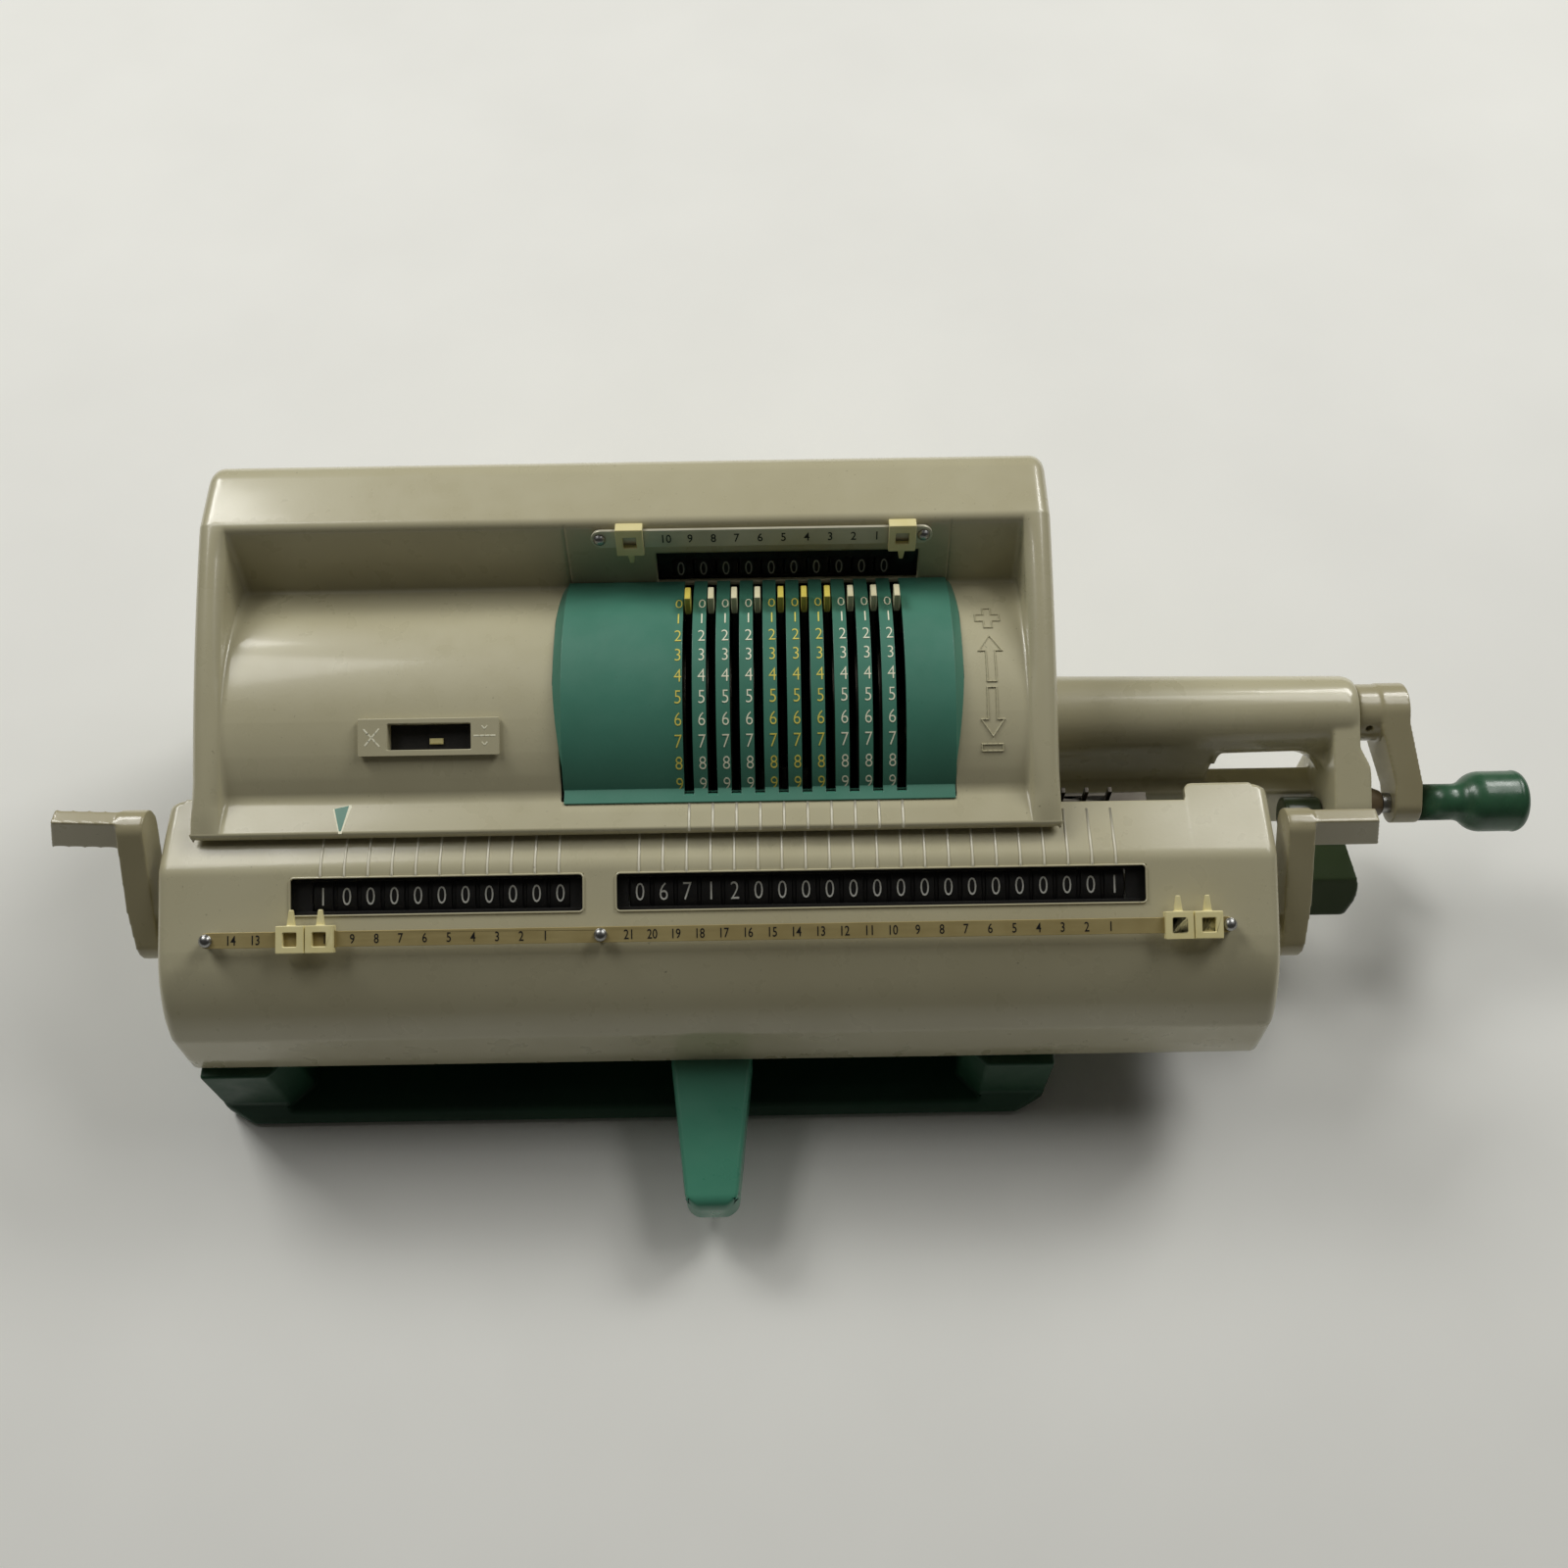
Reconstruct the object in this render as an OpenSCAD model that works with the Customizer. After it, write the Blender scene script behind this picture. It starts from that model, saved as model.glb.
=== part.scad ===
// Pinwheel calculator with a sliding carriage, ten setting levers and a side crank.
// Millimetres. +X to the right, +Y to the back, +Z up.
// The origin is on the table, under the middle of the front left foot. Sizes and places below are
// measured from the middle of the cast base, and the whole is moved to the foot at the end.

/* [Base casting] */
// Width of the base
base_w = 265; // [264:0.5:267]
// Depth of the base from the skirt's front edge to the back
base_d = 171; // [170:0.5:174]
// Height of the base's end blocks above the table
base_top = 32; // [31:0.5:32.5]
// Width of each end block
block_w = 28; // [26:0.5:29]
// Height of the sloping front skirt
skirt_h = 6; // [5:0.5:7]
// How far the skirt runs out in front of the end blocks
skirt_run = 5.5; // [4:0.5:7]
// Cut across each front corner of the skirt
skirt_corner = 9.4; // [8:0.2:11]
// Depth of the recess between the end blocks
recess_d = 14; // [12:0.5:16]
// Thickness of the base's floor and walls
casting_t = 4; // [3.5:0.1:5]

/* [Rubber feet] */
// Radius of a foot
foot_r = 9; // [8:0.5:10]
// Height that a foot stands below the casting
foot_h = 2; // [1.5:0.1:2.5]
// Depth of the seat that holds a foot
foot_seat = 1.5; // [1:0.1:2]

/* [Shaft and drum] */
// Distance of the main shaft behind the middle of the base
shaft_y = 26; // [25:0.5:27]
// Height of the main shaft above the table
shaft_z = 65; // [64:0.5:66]
// Radius of the main shaft
shaft_r = 6; // [5.5:0.1:6.5]
// Radial running clearance of every shaft and pin
run = 0.06; // [0.05:0.01:0.08]
// Distance between neighbouring digits
pitch = 7; // [6.9:0.05:7.1]
// Middle of the ten lever slots, to the right of the base's middle
slots_x = 53.4; // [53:0.1:54]
// Radius of a pinwheel disc
disc_r = 33; // [31:0.5:34]
// Radius of the pinwheel's sleeve
sleeve_r = 10; // [9:0.2:11]

/* [Setting levers] */
// Thickness of a lever plate
lever_t = 1.8; // [1.6:0.1:2.2]
// Radius to the tip of a lever
lever_tip_r = 53.5; // [52.5:0.5:54]
// Angle of a lever at nought, up from the front
lever_zero = 105.1; // [104:0.5:106]
// Angle between neighbouring digits on the dial
digit_step = 7.63; // [7.4:0.01:7.7]
// Gap between a lever's toothed rim and the wheel that it turns
mesh_gap = 0.3; // [0.25:0.05:0.4]

/* [Check register] */
// Radius of a check wheel
check_r = 9; // [8.5:0.1:9.2]
// Distance of the check wheels' shaft behind the main shaft
check_dy = 37.2; // [36.8:0.1:37.8]
// Height of the check wheels' shaft above the main shaft
check_dz = 39; // [38.5:0.1:39.5]
// Radius of the check wheels' shaft
check_shaft_r = 2; // [1.8:0.1:2.4]
// Width of the check window
check_win_w = 80; // [78:0.5:82]
// Height of the check window along the wall
check_win_h = 11.8; // [11:0.1:12]

/* [Dial cover] */
// Outer radius of the dial cover
dial_r = 49.2; // [49:0.1:50]
// Thickness of the dial cover
dial_t = 1.5; // [1.3:0.1:1.8]
// Width of the dial cover's flat stretch
dial_w = 116.5; // [115:0.5:118]
// Middle of the dial cover, to the right of the base's middle
dial_x = 42.8; // [42.5:0.1:43]
// Run of the bevel at each end of the dial cover
dial_bevel = 2.9; // [2.5:0.1:3.2]
// Width of a slot
slot_w = 2.9; // [2.7:0.1:3.2]

/* [Hood] */
// Width of the hood
hood_w = 256.5; // [256:0.5:258]
// Middle of the hood, to the right of the base's middle
hood_x = 3.35; // [3:0.05:3.5]
// Height of the hood's flat top
hood_top = 130; // [129.5:0.5:131]
// Thickness of the hood's sheet
hood_t = 2.2; // [2:0.1:2.4]
// Width of the rounded rim at each end of the recess
rim_w = 9; // [8.7:0.1:9.3]
// Front edge of the lip
lip_y = -27.2; // [-28:0.1:-26.5]
// Underside of the lip above the table
lip_z = 88.5; // [88.3:0.1:89]
// Height of the lip's front edge
lip_h = 3; // [2.6:0.1:3.4]
// Radius of the hood's top back edge
hood_round = 10; // [8:0.5:12]
// Swell of the beige surface beside the dial
recess_sag = 11.2; // [10.8:0.1:11.4]

/* [Scale bars] */
// Thickness of a scale bar
bar_t = 1; // [0.8:0.1:1.2]
// Length of the upper bar
upper_bar_l = 102.4; // [101:0.2:104]
// Height of the upper bar
upper_bar_h = 6.4; // [6:0.1:6.8]
// Gap behind the upper bar
upper_standoff = 1.6; // [1.4:0.1:1.8]
// Length of the carriage's bar
lower_bar_l = 300.4; // [299:0.2:302]
// Width of the carriage's bar
lower_bar_h = 4.6; // [4.2:0.1:5]
// Gap under the carriage's bar
lower_standoff = 3.4; // [3:0.1:3.8]
// Width of a sliding decimal marker
marker_w = 8.2; // [8:0.1:8.4]
// Radius of a bar screw's head
bar_screw_r = 1.9; // [1.7:0.1:2]

/* [Sign window] */
// Width of the sign window's frame
sign_w = 41.7; // [41:0.1:42.5]
// Height of the sign window's frame
sign_h = 11.1; // [10.5:0.1:11.5]
// Middle of the sign window, to the right of the base's middle
sign_x = -54.4; // [-55:0.1:-54]
// Travel of the sign slide
sign_travel = 11; // [10:0.5:12]

/* [Carriage] */
// Width of the carriage
car_w = 330; // [329:0.5:331]
// Middle of the carriage, to the right of the base's middle, where the photograph shows it
car_x = 30.1; // [30:0.1:30.5]
// Top of the carriage above the table
car_top = 87; // [86.8:0.1:87.2]
// Bottom edge of the carriage's cover above the table
car_bottom = 34; // [33.5:0.5:35]
// Thickness of the carriage's sheet
car_t = 2; // [1.8:0.1:2.2]
// Back edge of the carriage's top
car_back = -17.3; // [-17.5:0.1:-17]
// Back edge of the shoulder at each end of the top
shoulder_back = -11.4; // [-11.8:0.1:-11.2]
// Width of each shoulder
shoulder_w = 25; // [24:0.5:26]
// Radius of the upright back corners of the carriage
corner_r = 5; // [4.5:0.1:5.5]
// Slope of the window panel, down to the front
slope = 26.57; // [26:0.1:27]
// Height of a register window along the slope
win_h = 10.8; // [10:0.1:11]
// Width of the counter's window
counter_win_w = 85.9; // [85:0.1:86.5]
// Width of the result's window
result_win_w = 155.3; // [155:0.1:156]

/* [Registers] */
// Radius of a register wheel
wheel_r = 12; // [11.5:0.1:12.2]
// Radius of the register shaft
reg_shaft_r = 3; // [2.8:0.1:3.2]
// Radius of a transfer gear
transfer_r = 4.5; // [4.3:0.1:4.5]
// Radius of the transfer shaft
transfer_shaft_r = 2; // [1.8:0.1:2.2]

/* [Carriage guide] */
// Radius of the guide rail
rail_r = 4; // [3.5:0.1:4.5]
// Distance of the guide rail in front of the base's middle
rail_y = -50; // [-51:0.5:-49]
// Height of the guide rail above the table
rail_z = 23; // [22:0.5:24]
// Width of a carriage bearing
bearing_w = 10; // [8:0.5:11]

/* [Carriage handle] */
// Width of the handle's top at its root
handle_root_w = 25; // [24:0.5:26]
// Width of the handle's top at its tip
handle_tip_w = 16; // [15:0.5:18]
// Front end of the handle
handle_tip_y = -121; // [-122:0.5:-119]

/* [Crank] */
// Tilt of the resting crank below the level, towards the front
crank_tilt = 30; // [29:0.5:31]
// Distance from the shaft to the knob
crank_r = 29.5; // [29:0.1:30.5]
// Radius of the crank's hub
hub_r = 9.2; // [9:0.1:9.4]
// Thickness of the crank's arm
crank_t = 8.7; // [8.2:0.1:9.2]
// Length of the knob
knob_l = 33.9; // [33:0.1:35]
// Radius of the knob's head
knob_r = 9.8; // [9.4:0.1:10.2]
// Radius of the knob's stud
stud_r = 2.3; // [2:0.1:2.6]

/* [Crank bearing] */
// Radius of the bearing tube at the hood
tube_r = 13.4; // [13:0.1:13.8]
// Radius of the bearing tube at the crank
tube_end_r = 12; // [11.6:0.1:12.4]
// Length of the bearing tube outside the hood
tube_l = 105.6; // [105:0.1:107]
// Width of the leg that carries the lock boss
leg_w = 12; // [11.6:0.1:12.6]
// Width of the web under the tube
web_w = 58; // [56:0.5:60]

/* [Clearing levers] */
// Thickness of a clearing lever's plate
wing_t = 8; // [7:0.2:8.4]
// Length of a clearing lever's grip
grip_l = 21.5; // [20:0.5:23]
// Gap between a clearing lever and the carriage's end
wing_gap = 4; // [3.5:0.1:4.5]

/* [Dial clearing lever] */
// Width of the thumb pad
pad_w = 20; // [18:0.5:20.5]
// Radius of its pivot pin
pad_pin_r = 3; // [2.5:0.1:3.4]

/* [Hidden] */
$fn = 48;

beige = [0.75, 0.74, 0.64];
green = [0.33, 0.53, 0.45];
dark_green = [0.10, 0.26, 0.19];
cream = [0.86, 0.83, 0.66];
steel = [0.72, 0.73, 0.74];
black = [0.08, 0.08, 0.08];

// Small distance by which a cutter passes the faces that it cuts
cut = 1;
// Clearance of a part that sits still in another
seat = 0.05;
levers = 10;
// Half the width of a lever's tip, and its play at the end of the slot, as angles
lever_half = 3;
slot_play = 0.25;
counter_digits = 11;
result_digits = 21;
// A digit stands this far to the left of its lever's slot
digit_shift = 2.75;

shaft = [shaft_y, shaft_z];
check_shaft = shaft + [check_dy, check_dz];
check_dist = norm([check_dy, check_dz]);
// Nine steps of a lever turn its check wheel by nine tenths of a turn
wheel_ratio = 36 / digit_step;
mesh_r = check_dist * wheel_ratio / (1 + wheel_ratio);

base_front = -base_d / 2;
base_back = base_d / 2;
block_front = base_front + skirt_run;
base_left = -base_w / 2;
base_right = base_w / 2;
// Middle of the front left foot, and of the back feet
first_foot = [base_left + block_w / 2, base_front + 22];
back_foot_y = base_back - 16;
skirt_top = foot_h + skirt_h;
deck_top = foot_h + casting_t + 4;
apron_top = base_top - 6;

hood_left = hood_x - hood_w / 2;
hood_right = hood_x + hood_w / 2;
hood_back = base_back;
inner_left = hood_left + rim_w;
inner_right = hood_right - rim_w;
lip_top = lip_z + lip_h;

// The recess: a lip, a beige arc under the dial, and a wall that leans back
recess_foot = [-15.8, lip_top + 0.7];
wall_foot = [51.4, 104.5];
wall_lean = 10.9;
wall_dir = [sin(wall_lean), cos(wall_lean)];
wall_len = (hood_top - wall_foot[1]) / wall_dir[1];
wall_top = wall_foot + wall_dir * wall_len;
recess_arc = bow(recess_foot, wall_foot, recess_sag, 24);
hood_front = -9;

dial_left = dial_x - dial_w / 2;
dial_right = dial_x + dial_w / 2;
// Ends of the dial's arc, as angles from the back, up
dial_low = 146;
// Front edge of the dial cover's foot, on the lip
dial_foot_y = -18.8;
dial_foot_t = 0.6;
dial_high = 58.6;

check_win_x = slots_x - digit_shift + 1;
check_win_s = 7.9;
upper_bar_x = slots_x - 8.9;
upper_bar_s = 21.6;
upper_screw_x = upper_bar_l / 2 - 2.6;

car_left = car_x - car_w / 2;
car_right = car_x + car_w / 2;
car_edge = 86.5;
crease = [-35.5, car_edge];
slope_end = [-57, 75.8];
front_top = [-76.5, 53.5];
front_bottom = [-77.3, car_bottom];
front_sag = 3.05;
// Middle of the register windows on the slope
win_at = [-43.1, 82.7];
// Wheels turn this far under the slope
wheel_depth = 15;
slope_n = [-sin(slope), cos(slope)];
reg_shaft = win_at - slope_n * wheel_depth;
transfer_shaft = [-19.6, 68];
// The counter stands left of the carriage's middle, the result right of it
counter_first = car_x - 116.6;
result_first = car_x - 23.1;
counter_mid = counter_first + pitch * (counter_digits - 1) / 2;
result_mid = result_first + pitch * (result_digits - 1) / 2;
// Middle and width of each register window
register_views = [[counter_mid - 0.9, counter_win_w], [result_mid + 1, result_win_w]];
lower_bar_y = -12.2;
lower_bar_x = car_x - 0.3;
lower_screws = [-lower_bar_l / 2 + 1.9, -33.7, lower_bar_l / 2 - 1.3];
// Pivot of each clearing lever and the middle of its grip, left and right
wing_pivots = [[-45.3, 61.1], [-49.4, 58.8]];
wing_tops = [[-21.9, 86.6], [-25, 81.8]];
wing_stud_r = 3;
bearing_reach = 58;
chassis_z = [car_bottom + 2, car_bottom + 5];

leg_end = hood_right + tube_l;
leg_start = leg_end - leg_w;
boss_l = 6;
stud_gap = 0.3;
// The tube ends a little before the leg, and the crank's arm leans out towards the knob
tube_end = leg_end - 3.4;
hub_l = 16.2;
hub_start = tube_end + 0.5;
hub_end = hub_start + hub_l;
// Clearance between the crank's hub and the foot of the leg under it
hub_gap = 0.8;
arm_lean = 4.4;
arm_start = hub_end + arm_lean - crank_t;
arm_end = arm_start + crank_t;
knob_start = arm_end + 0.2;
pad_pivot = [0, 44];

function unit(a) = [cos(a), sin(a)];
// Point on the lip's top
function lip_at(y) = [y, lip_top + (y - lip_y) * (recess_foot[1] - lip_top) / (recess_foot[0] - lip_y)];
// Points of an arc from p to q that swells to the left by sag
function bow(p, q, sag, n = 16) =
    let(
        c = norm(q - p),
        r = (c * c / 4 + sag * sag) / (2 * sag),
        a = asin(c / 2 / r),
        u = (q - p) / c,
        v = [-u[1], u[0]],
        m = (p + q) / 2 + v * (sag - r)
    )
    [for (i = [0:n]) m + r * (v * cos(-a + 2 * a * i / n) + u * sin(-a + 2 * a * i / n))];
function arc(c, r, a0, a1, n = 8) = [for (i = [0:n]) c + r * unit(a0 + (a1 - a0) * i / n)];
// The line of points moved sideways by d, to its left where d is positive
function beside(line, d) = [
    for (i = [0:len(line) - 1])
        let(
            before = line[i] - line[max(i - 1, 0)],
            after = line[min(i + 1, len(line) - 1)] - line[i],
            u = i > 0 ? before / norm(before) : after / norm(after),
            w = i < len(line) - 1 ? after / norm(after) : u,
            m = [-u[1] - w[1], u[0] + w[0]]
        )
        line[i] + m * 2 * d / (m * m)
];
function wing_pivot(side) = wing_pivots[side > 0 ? 1 : 0];
function wing_top(side) = wing_tops[side > 0 ? 1 : 0];
function reversed(line) = [for (i = [len(line) - 1:-1:0]) line[i]];
function slot_x(i) = slots_x + pitch * (i - (levers - 1) / 2);

// An outline in Y and Z, drawn out along X
module along_x(x0, x1) translate([x0, 0, 0]) rotate([90, 0, 90]) linear_extrude(x1 - x0) children();
module rod(x0, x1, r, at) translate([x0, at[0], at[1]]) rotate([0, 90, 0]) cylinder(h = x1 - x0, r = r);
module cone(x0, x1, r0, r1, at)
    translate([x0, at[0], at[1]]) rotate([0, 90, 0]) cylinder(h = x1 - x0, r1 = r0, r2 = r1);
module block(lo, hi) translate(lo) cube(hi - lo);
// Part of a ring round the main shaft, with angles measured from the back, up
module ring(x0, x1, r0, r1, a0, a1)
    translate([0, shaft_y, shaft_z]) rotate([90, 0, 90]) rotate([0, 0, a0])
        rotate_extrude(angle = a1 - a0) translate([r0, x0]) square([r1 - r0, x1 - x0]);
// Two round ends of their own radius with straight sides between them
module strap(p, rp, q, rq) {
    d = q - p;
    a = atan2(d[1], d[0]);
    b = acos((rp - rq) / norm(d));
    polygon(concat(arc(p, rp, a + b, a - b + 360, 30), arc(q, rq, a - b, a + b, 24)));
}
// Frames of reference: the leaning wall, the sloping panel, and the crank
module on_wall() translate([0, wall_foot[0], wall_foot[1]]) rotate([90 - wall_lean, 0, 0]) children();
module on_slope() translate([0, win_at[0], win_at[1]]) rotate([slope, 0, 0]) children();
module on_crank() translate([0, shaft_y, shaft_z]) rotate([crank_tilt, 0, 0]) children();

// Base

module foot_places()
    for (x = [first_foot[0], -first_foot[0]], y = [first_foot[1], back_foot_y])
        translate([x, y, 0]) children();

module base_casting() {
    recess_back = block_front + recess_d;
    recess_x = base_w / 2 - block_w;
    color(dark_green) difference() {
        union() {
            // Skirt, floor and end blocks
            along_x(base_left, base_right) polygon([
                [base_front, foot_h], [base_back, foot_h], [base_back, deck_top],
                [block_front, deck_top], [block_front, skirt_top]
            ]);
            for (x = [base_left, base_right - block_w])
                block([x, block_front, foot_h], [x + block_w, base_back, base_top]);
            // Back wall, and the apron behind the front recess with its ledge
            block([base_left, base_back - casting_t, foot_h], [base_right, base_back, base_top]);
            block([base_left + cut, recess_back, foot_h], [base_right - cut, recess_back + casting_t, apron_top]);
            block([base_left + cut, recess_back - 2, apron_top - 3], [base_right - cut, recess_back + cut, apron_top]);
        }
        // Recess between the end blocks, with raked sides
        translate([0, 0, foot_h + 3.5]) linear_extrude(base_top) polygon([
            [-recess_x - 7, base_front - cut], [recess_x + 7, base_front - cut],
            [recess_x + 7, block_front], [recess_x, block_front + 7], [recess_x, recess_back - 2],
            [-recess_x, recess_back - 2], [-recess_x, block_front + 7], [-recess_x - 7, block_front]
        ]);
        block([-recess_x, recess_back - 3, foot_h + 3.5], [recess_x, recess_back, apron_top - 3]);
        // Corners of the skirt
        for (side = [-1, 1]) translate([0, 0, foot_h - cut]) linear_extrude(skirt_h + cut) polygon([
            [side * (base_w / 2 + cut), block_front], [side * base_w / 2, block_front],
            [side * (base_w / 2 - skirt_corner), base_front - 0.01], [side * base_w / 2, base_front - cut],
            [side * (base_w / 2 + cut), base_front - cut]
        ]);
        // Open well under the pinwheel
        block([-recess_x + 12, recess_back + casting_t + 24, foot_h - cut],
            [recess_x - 12, base_back - casting_t - 10, deck_top + cut]);
        // Hollows under the end blocks
        for (x = [base_left, base_right - block_w])
            block([x + casting_t, base_front + 36, foot_h - cut],
                [x + block_w - casting_t, base_back - 30, base_top - casting_t]);
        rod(rail_ends[0] - seat, rail_ends[1] + seat, rail_r + seat, [rail_y, rail_z]);
        foot_places() translate([0, 0, foot_h - cut]) cylinder(h = foot_seat + cut, r = foot_r + seat);
    }
}

module rubber_feet()
    color(black) foot_places() cylinder(h = foot_h + foot_seat, r = foot_r);

rail_ends = [base_left + casting_t + 8, base_right - casting_t - 8];
module carriage_rail() color(steel) rod(rail_ends[0], rail_ends[1], rail_r, [rail_y, rail_z]);

// Frames, hood and covers

frame_t = 3;
frame_gap = 1;
frame_left = [hood_left + hood_t + frame_gap, hood_left + hood_t + frame_gap + frame_t];
frame_right = [hood_right - hood_t - frame_gap - frame_t, hood_right - hood_t - frame_gap];

module side_frames()
    color(steel) for (x = [frame_left, frame_right]) difference() {
        along_x(x[0], x[1]) polygon([
            [-8, base_top], [hood_back - 10, base_top], [hood_back - 10, check_shaft[1] + 8],
            [check_shaft[0] - 8, check_shaft[1] + 8], [20, 98], [-8, 82]
        ]);
        rod(x[0] - cut, x[1] + cut, shaft_r + run, shaft);
        rod(x[0] - cut, x[1] + cut, check_shaft_r + seat, check_shaft);
    }

hood_back_arc = arc([hood_back - hood_round, hood_top - hood_round], hood_round, 90, 0);
recess_line = concat([[lip_y, lip_top]], recess_arc, [wall_top], hood_back_arc, [[hood_back, base_top - cut]]);
rim_line = concat(
    bow([lip_y, lip_top], [wall_top[0] + 2, hood_top], 2.2, 16), hood_back_arc, [[hood_back, base_top - cut]]
);
front_line = [[hood_front, base_top - cut], [hood_front, lip_z], [lip_y, lip_z]];

module hood_cover() {
    inner_recess = beside(recess_line, -hood_t);
    inner_rim = beside(rim_line, -hood_t);
    color(beige) difference() {
        union() {
            along_x(inner_left, inner_right) polygon(concat(recess_line, front_line));
            for (x = [hood_left, inner_right]) along_x(x, x + rim_w) polygon(concat(rim_line, front_line));
        }
        // Cavity under the recess, from end wall to end wall, open at the front under the lip
        along_x(hood_left + hood_t, hood_right - hood_t) polygon(concat(
            [[hood_front - cut, base_top - 2 * cut], [hood_front - cut, lip_z - 1], [recess_foot[0], lip_z]],
            [for (i = [2:len(inner_recess) - 1]) inner_recess[i]], [[hood_back - hood_t, base_top - 2 * cut]]
        ));
        for (x = [hood_left + hood_t, inner_right + hood_t])
            along_x(x, x + rim_w - 2 * hood_t) polygon(concat(
                [[hood_front - cut, lip_z - 1], [recess_foot[0], lip_z]],
                [for (i = [3:len(inner_rim) - 1]) inner_rim[i]]
            ));
        translate([0, 0, -base_top]) block([hood_left - cut, -60, base_top], [hood_right + cut, 100, 2 * base_top]);
        // Opening under the dial cover
        along_x(dial_left, dial_right) polygon([
            [recess_foot[0] + 0.2, lip_z - 4], [recess_foot[0] + 0.2, hood_top - 12],
            [wall_foot[0] - 0.2, hood_top - 12], [wall_foot[0] - 0.2, lip_z - 4]
        ]);
        // Check window
        on_wall() translate([check_win_x - check_win_w / 2, check_win_s - check_win_h / 2, -8])
            cube([check_win_w, check_win_h, 10]);
        upper_screw_places() translate([0, 0, -hood_t - cut]) cylinder(h = hood_t + 2 * cut, r = 1.2 + seat);
        // Seat of the sign window's frame
        on_sign() translate([-sign_w / 2 + 1 - seat, -sign_h / 2 + 1 - seat, -6])
            cube([sign_w - 2 + 2 * seat, sign_h - 2 + 2 * seat, 10]);
        rod(inner_right, hood_right + cut, tube_r + 0.3, shaft);
    }
}

module dial_cover() {
    end_r = dial_r - 3.5;
    color(green) difference() {
        union() {
            ring(dial_left, dial_right, dial_r - dial_t, dial_r, dial_high, dial_low);
            // Foot that lies on the lip
            along_x(dial_left + 0.3, dial_right - 0.3) polygon([
                lip_at(dial_foot_y), lip_at(dial_foot_y) + [0, dial_foot_t],
                recess_foot + [2.4, 1], recess_foot + [2.8, -1], recess_foot + [0.9, -1],
                lip_at(recess_foot[0] + 0.9)
            ]);
            // Bevelled ends that close down onto the beige surface
            intersection() {
                union() {
                    cone(dial_left - dial_bevel, dial_left + 0.6, end_r, dial_r, shaft);
                    cone(dial_right - 0.6, dial_right + dial_bevel, dial_r, end_r, shaft);
                }
                along_x(dial_left - dial_bevel - cut, dial_right + dial_bevel + cut)
                    polygon(concat(recess_arc, [wall_foot + [0, 30], recess_foot + [0, 40]]));
            }
        }
        for (i = [0:levers - 1])
            ring(slot_x(i) - slot_w / 2, slot_x(i) + slot_w / 2, dial_r - 6, dial_r + 5,
                dial_high - 5, 180 - lever_zero + 9 * digit_step + lever_half + slot_play);
    }
}

module check_window()
    color(black) on_wall()
        translate([check_win_x - check_win_w / 2, check_win_s - check_win_h / 2, -1.4])
            cube([check_win_w, check_win_h, 0.8]);

module check_wheel_shaft() color(steel) rod(frame_left[0], frame_right[1], check_shaft_r, check_shaft);

module bar_outline(l, h) {
    translate([-l / 2 + h / 2, -h / 2]) square([l - h, h]);
    for (x = [-l / 2 + h / 2, l / 2 - h / 2]) translate([x, 0]) circle(h / 2);
}
module upper_screw_places()
    for (x = [-upper_screw_x, upper_screw_x])
        on_wall() translate([upper_bar_x + x, upper_bar_s, 0]) children();
module lower_screw_places()
    for (x = lower_screws) on_slope() translate([lower_bar_x + x, lower_bar_y, 0]) children();

// Clearance under the collar of a bar screw
collar_gap = 0.06;

// A bar screw with the collar that holds the bar off the sheet
module bar_screw(standoff) {
    translate([0, 0, -1.4]) cylinder(h = standoff + bar_t + 1.8, r = 1.2);
    translate([0, 0, collar_gap]) cylinder(h = standoff - collar_gap, r = 2);
    translate([0, 0, standoff + bar_t]) cylinder(h = 0.5, r = bar_screw_r);
    translate([0, 0, standoff + bar_t + 0.5]) cylinder(h = 0.7, r1 = bar_screw_r, r2 = 1);
}

module check_scale_bar() color([0.70, 0.68, 0.58]) difference() {
    on_wall() translate([upper_bar_x, upper_bar_s, upper_standoff])
        linear_extrude(bar_t) bar_outline(upper_bar_l, upper_bar_h);
    upper_screw_places() cylinder(h = 10, r = 1.2 + seat);
}
module check_scale_screws() color(steel) upper_screw_places() bar_screw(upper_standoff);

// A moulded marker that rides on a bar, with a square eye over the bar and a tip that points to a digit
module marker(bar_h, standoff, point, tip) {
    wall = 1.7;
    under = 0.6;
    half = bar_h / 2 + wall;
    difference() {
        union() {
            translate([-marker_w / 2, -half, standoff - under - 0.1]) cube([marker_w, 2 * half, bar_t + under + 1.9]);
            // Tapered tip
            translate([0, point * half, standoff + 0.2]) linear_extrude(1.4)
                polygon([[-1.3, -point * 0.5], [1.3, -point * 0.5], [0.6, point * tip], [-0.6, point * tip]]);
        }
        translate([-marker_w / 2 - cut, -bar_h / 2 - 0.1, standoff - 0.1])
            cube([marker_w + 2 * cut, bar_h + 0.2, bar_t + 0.2]);
        translate([-2, -2, standoff]) cube([4, 4, 4]);
        translate([-marker_w / 2 - cut, -bar_h / 2 + 1, standoff - 2])
            cube([marker_w + 2 * cut, bar_h - 2, 2.5]);
    }
}
module check_marker(x)
    color(cream) on_wall() translate([x, upper_bar_s, 0]) marker(upper_bar_h, upper_standoff, -1, 4);
module slope_marker(x)
    color(cream) on_slope() translate([x, lower_bar_y, 0]) marker(lower_bar_h, lower_standoff, 1, 4.6);

check_marker_x = [upper_bar_x - upper_bar_l / 2 + 11.7, upper_bar_x + upper_bar_l / 2 - 9.1];
counter_marker_x = [counter_first - 7.1, counter_first + 1.4];
result_marker_x = [lower_bar_x + lower_bar_l / 2 - 16.3, lower_bar_x + lower_bar_l / 2 - 7.8];

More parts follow.
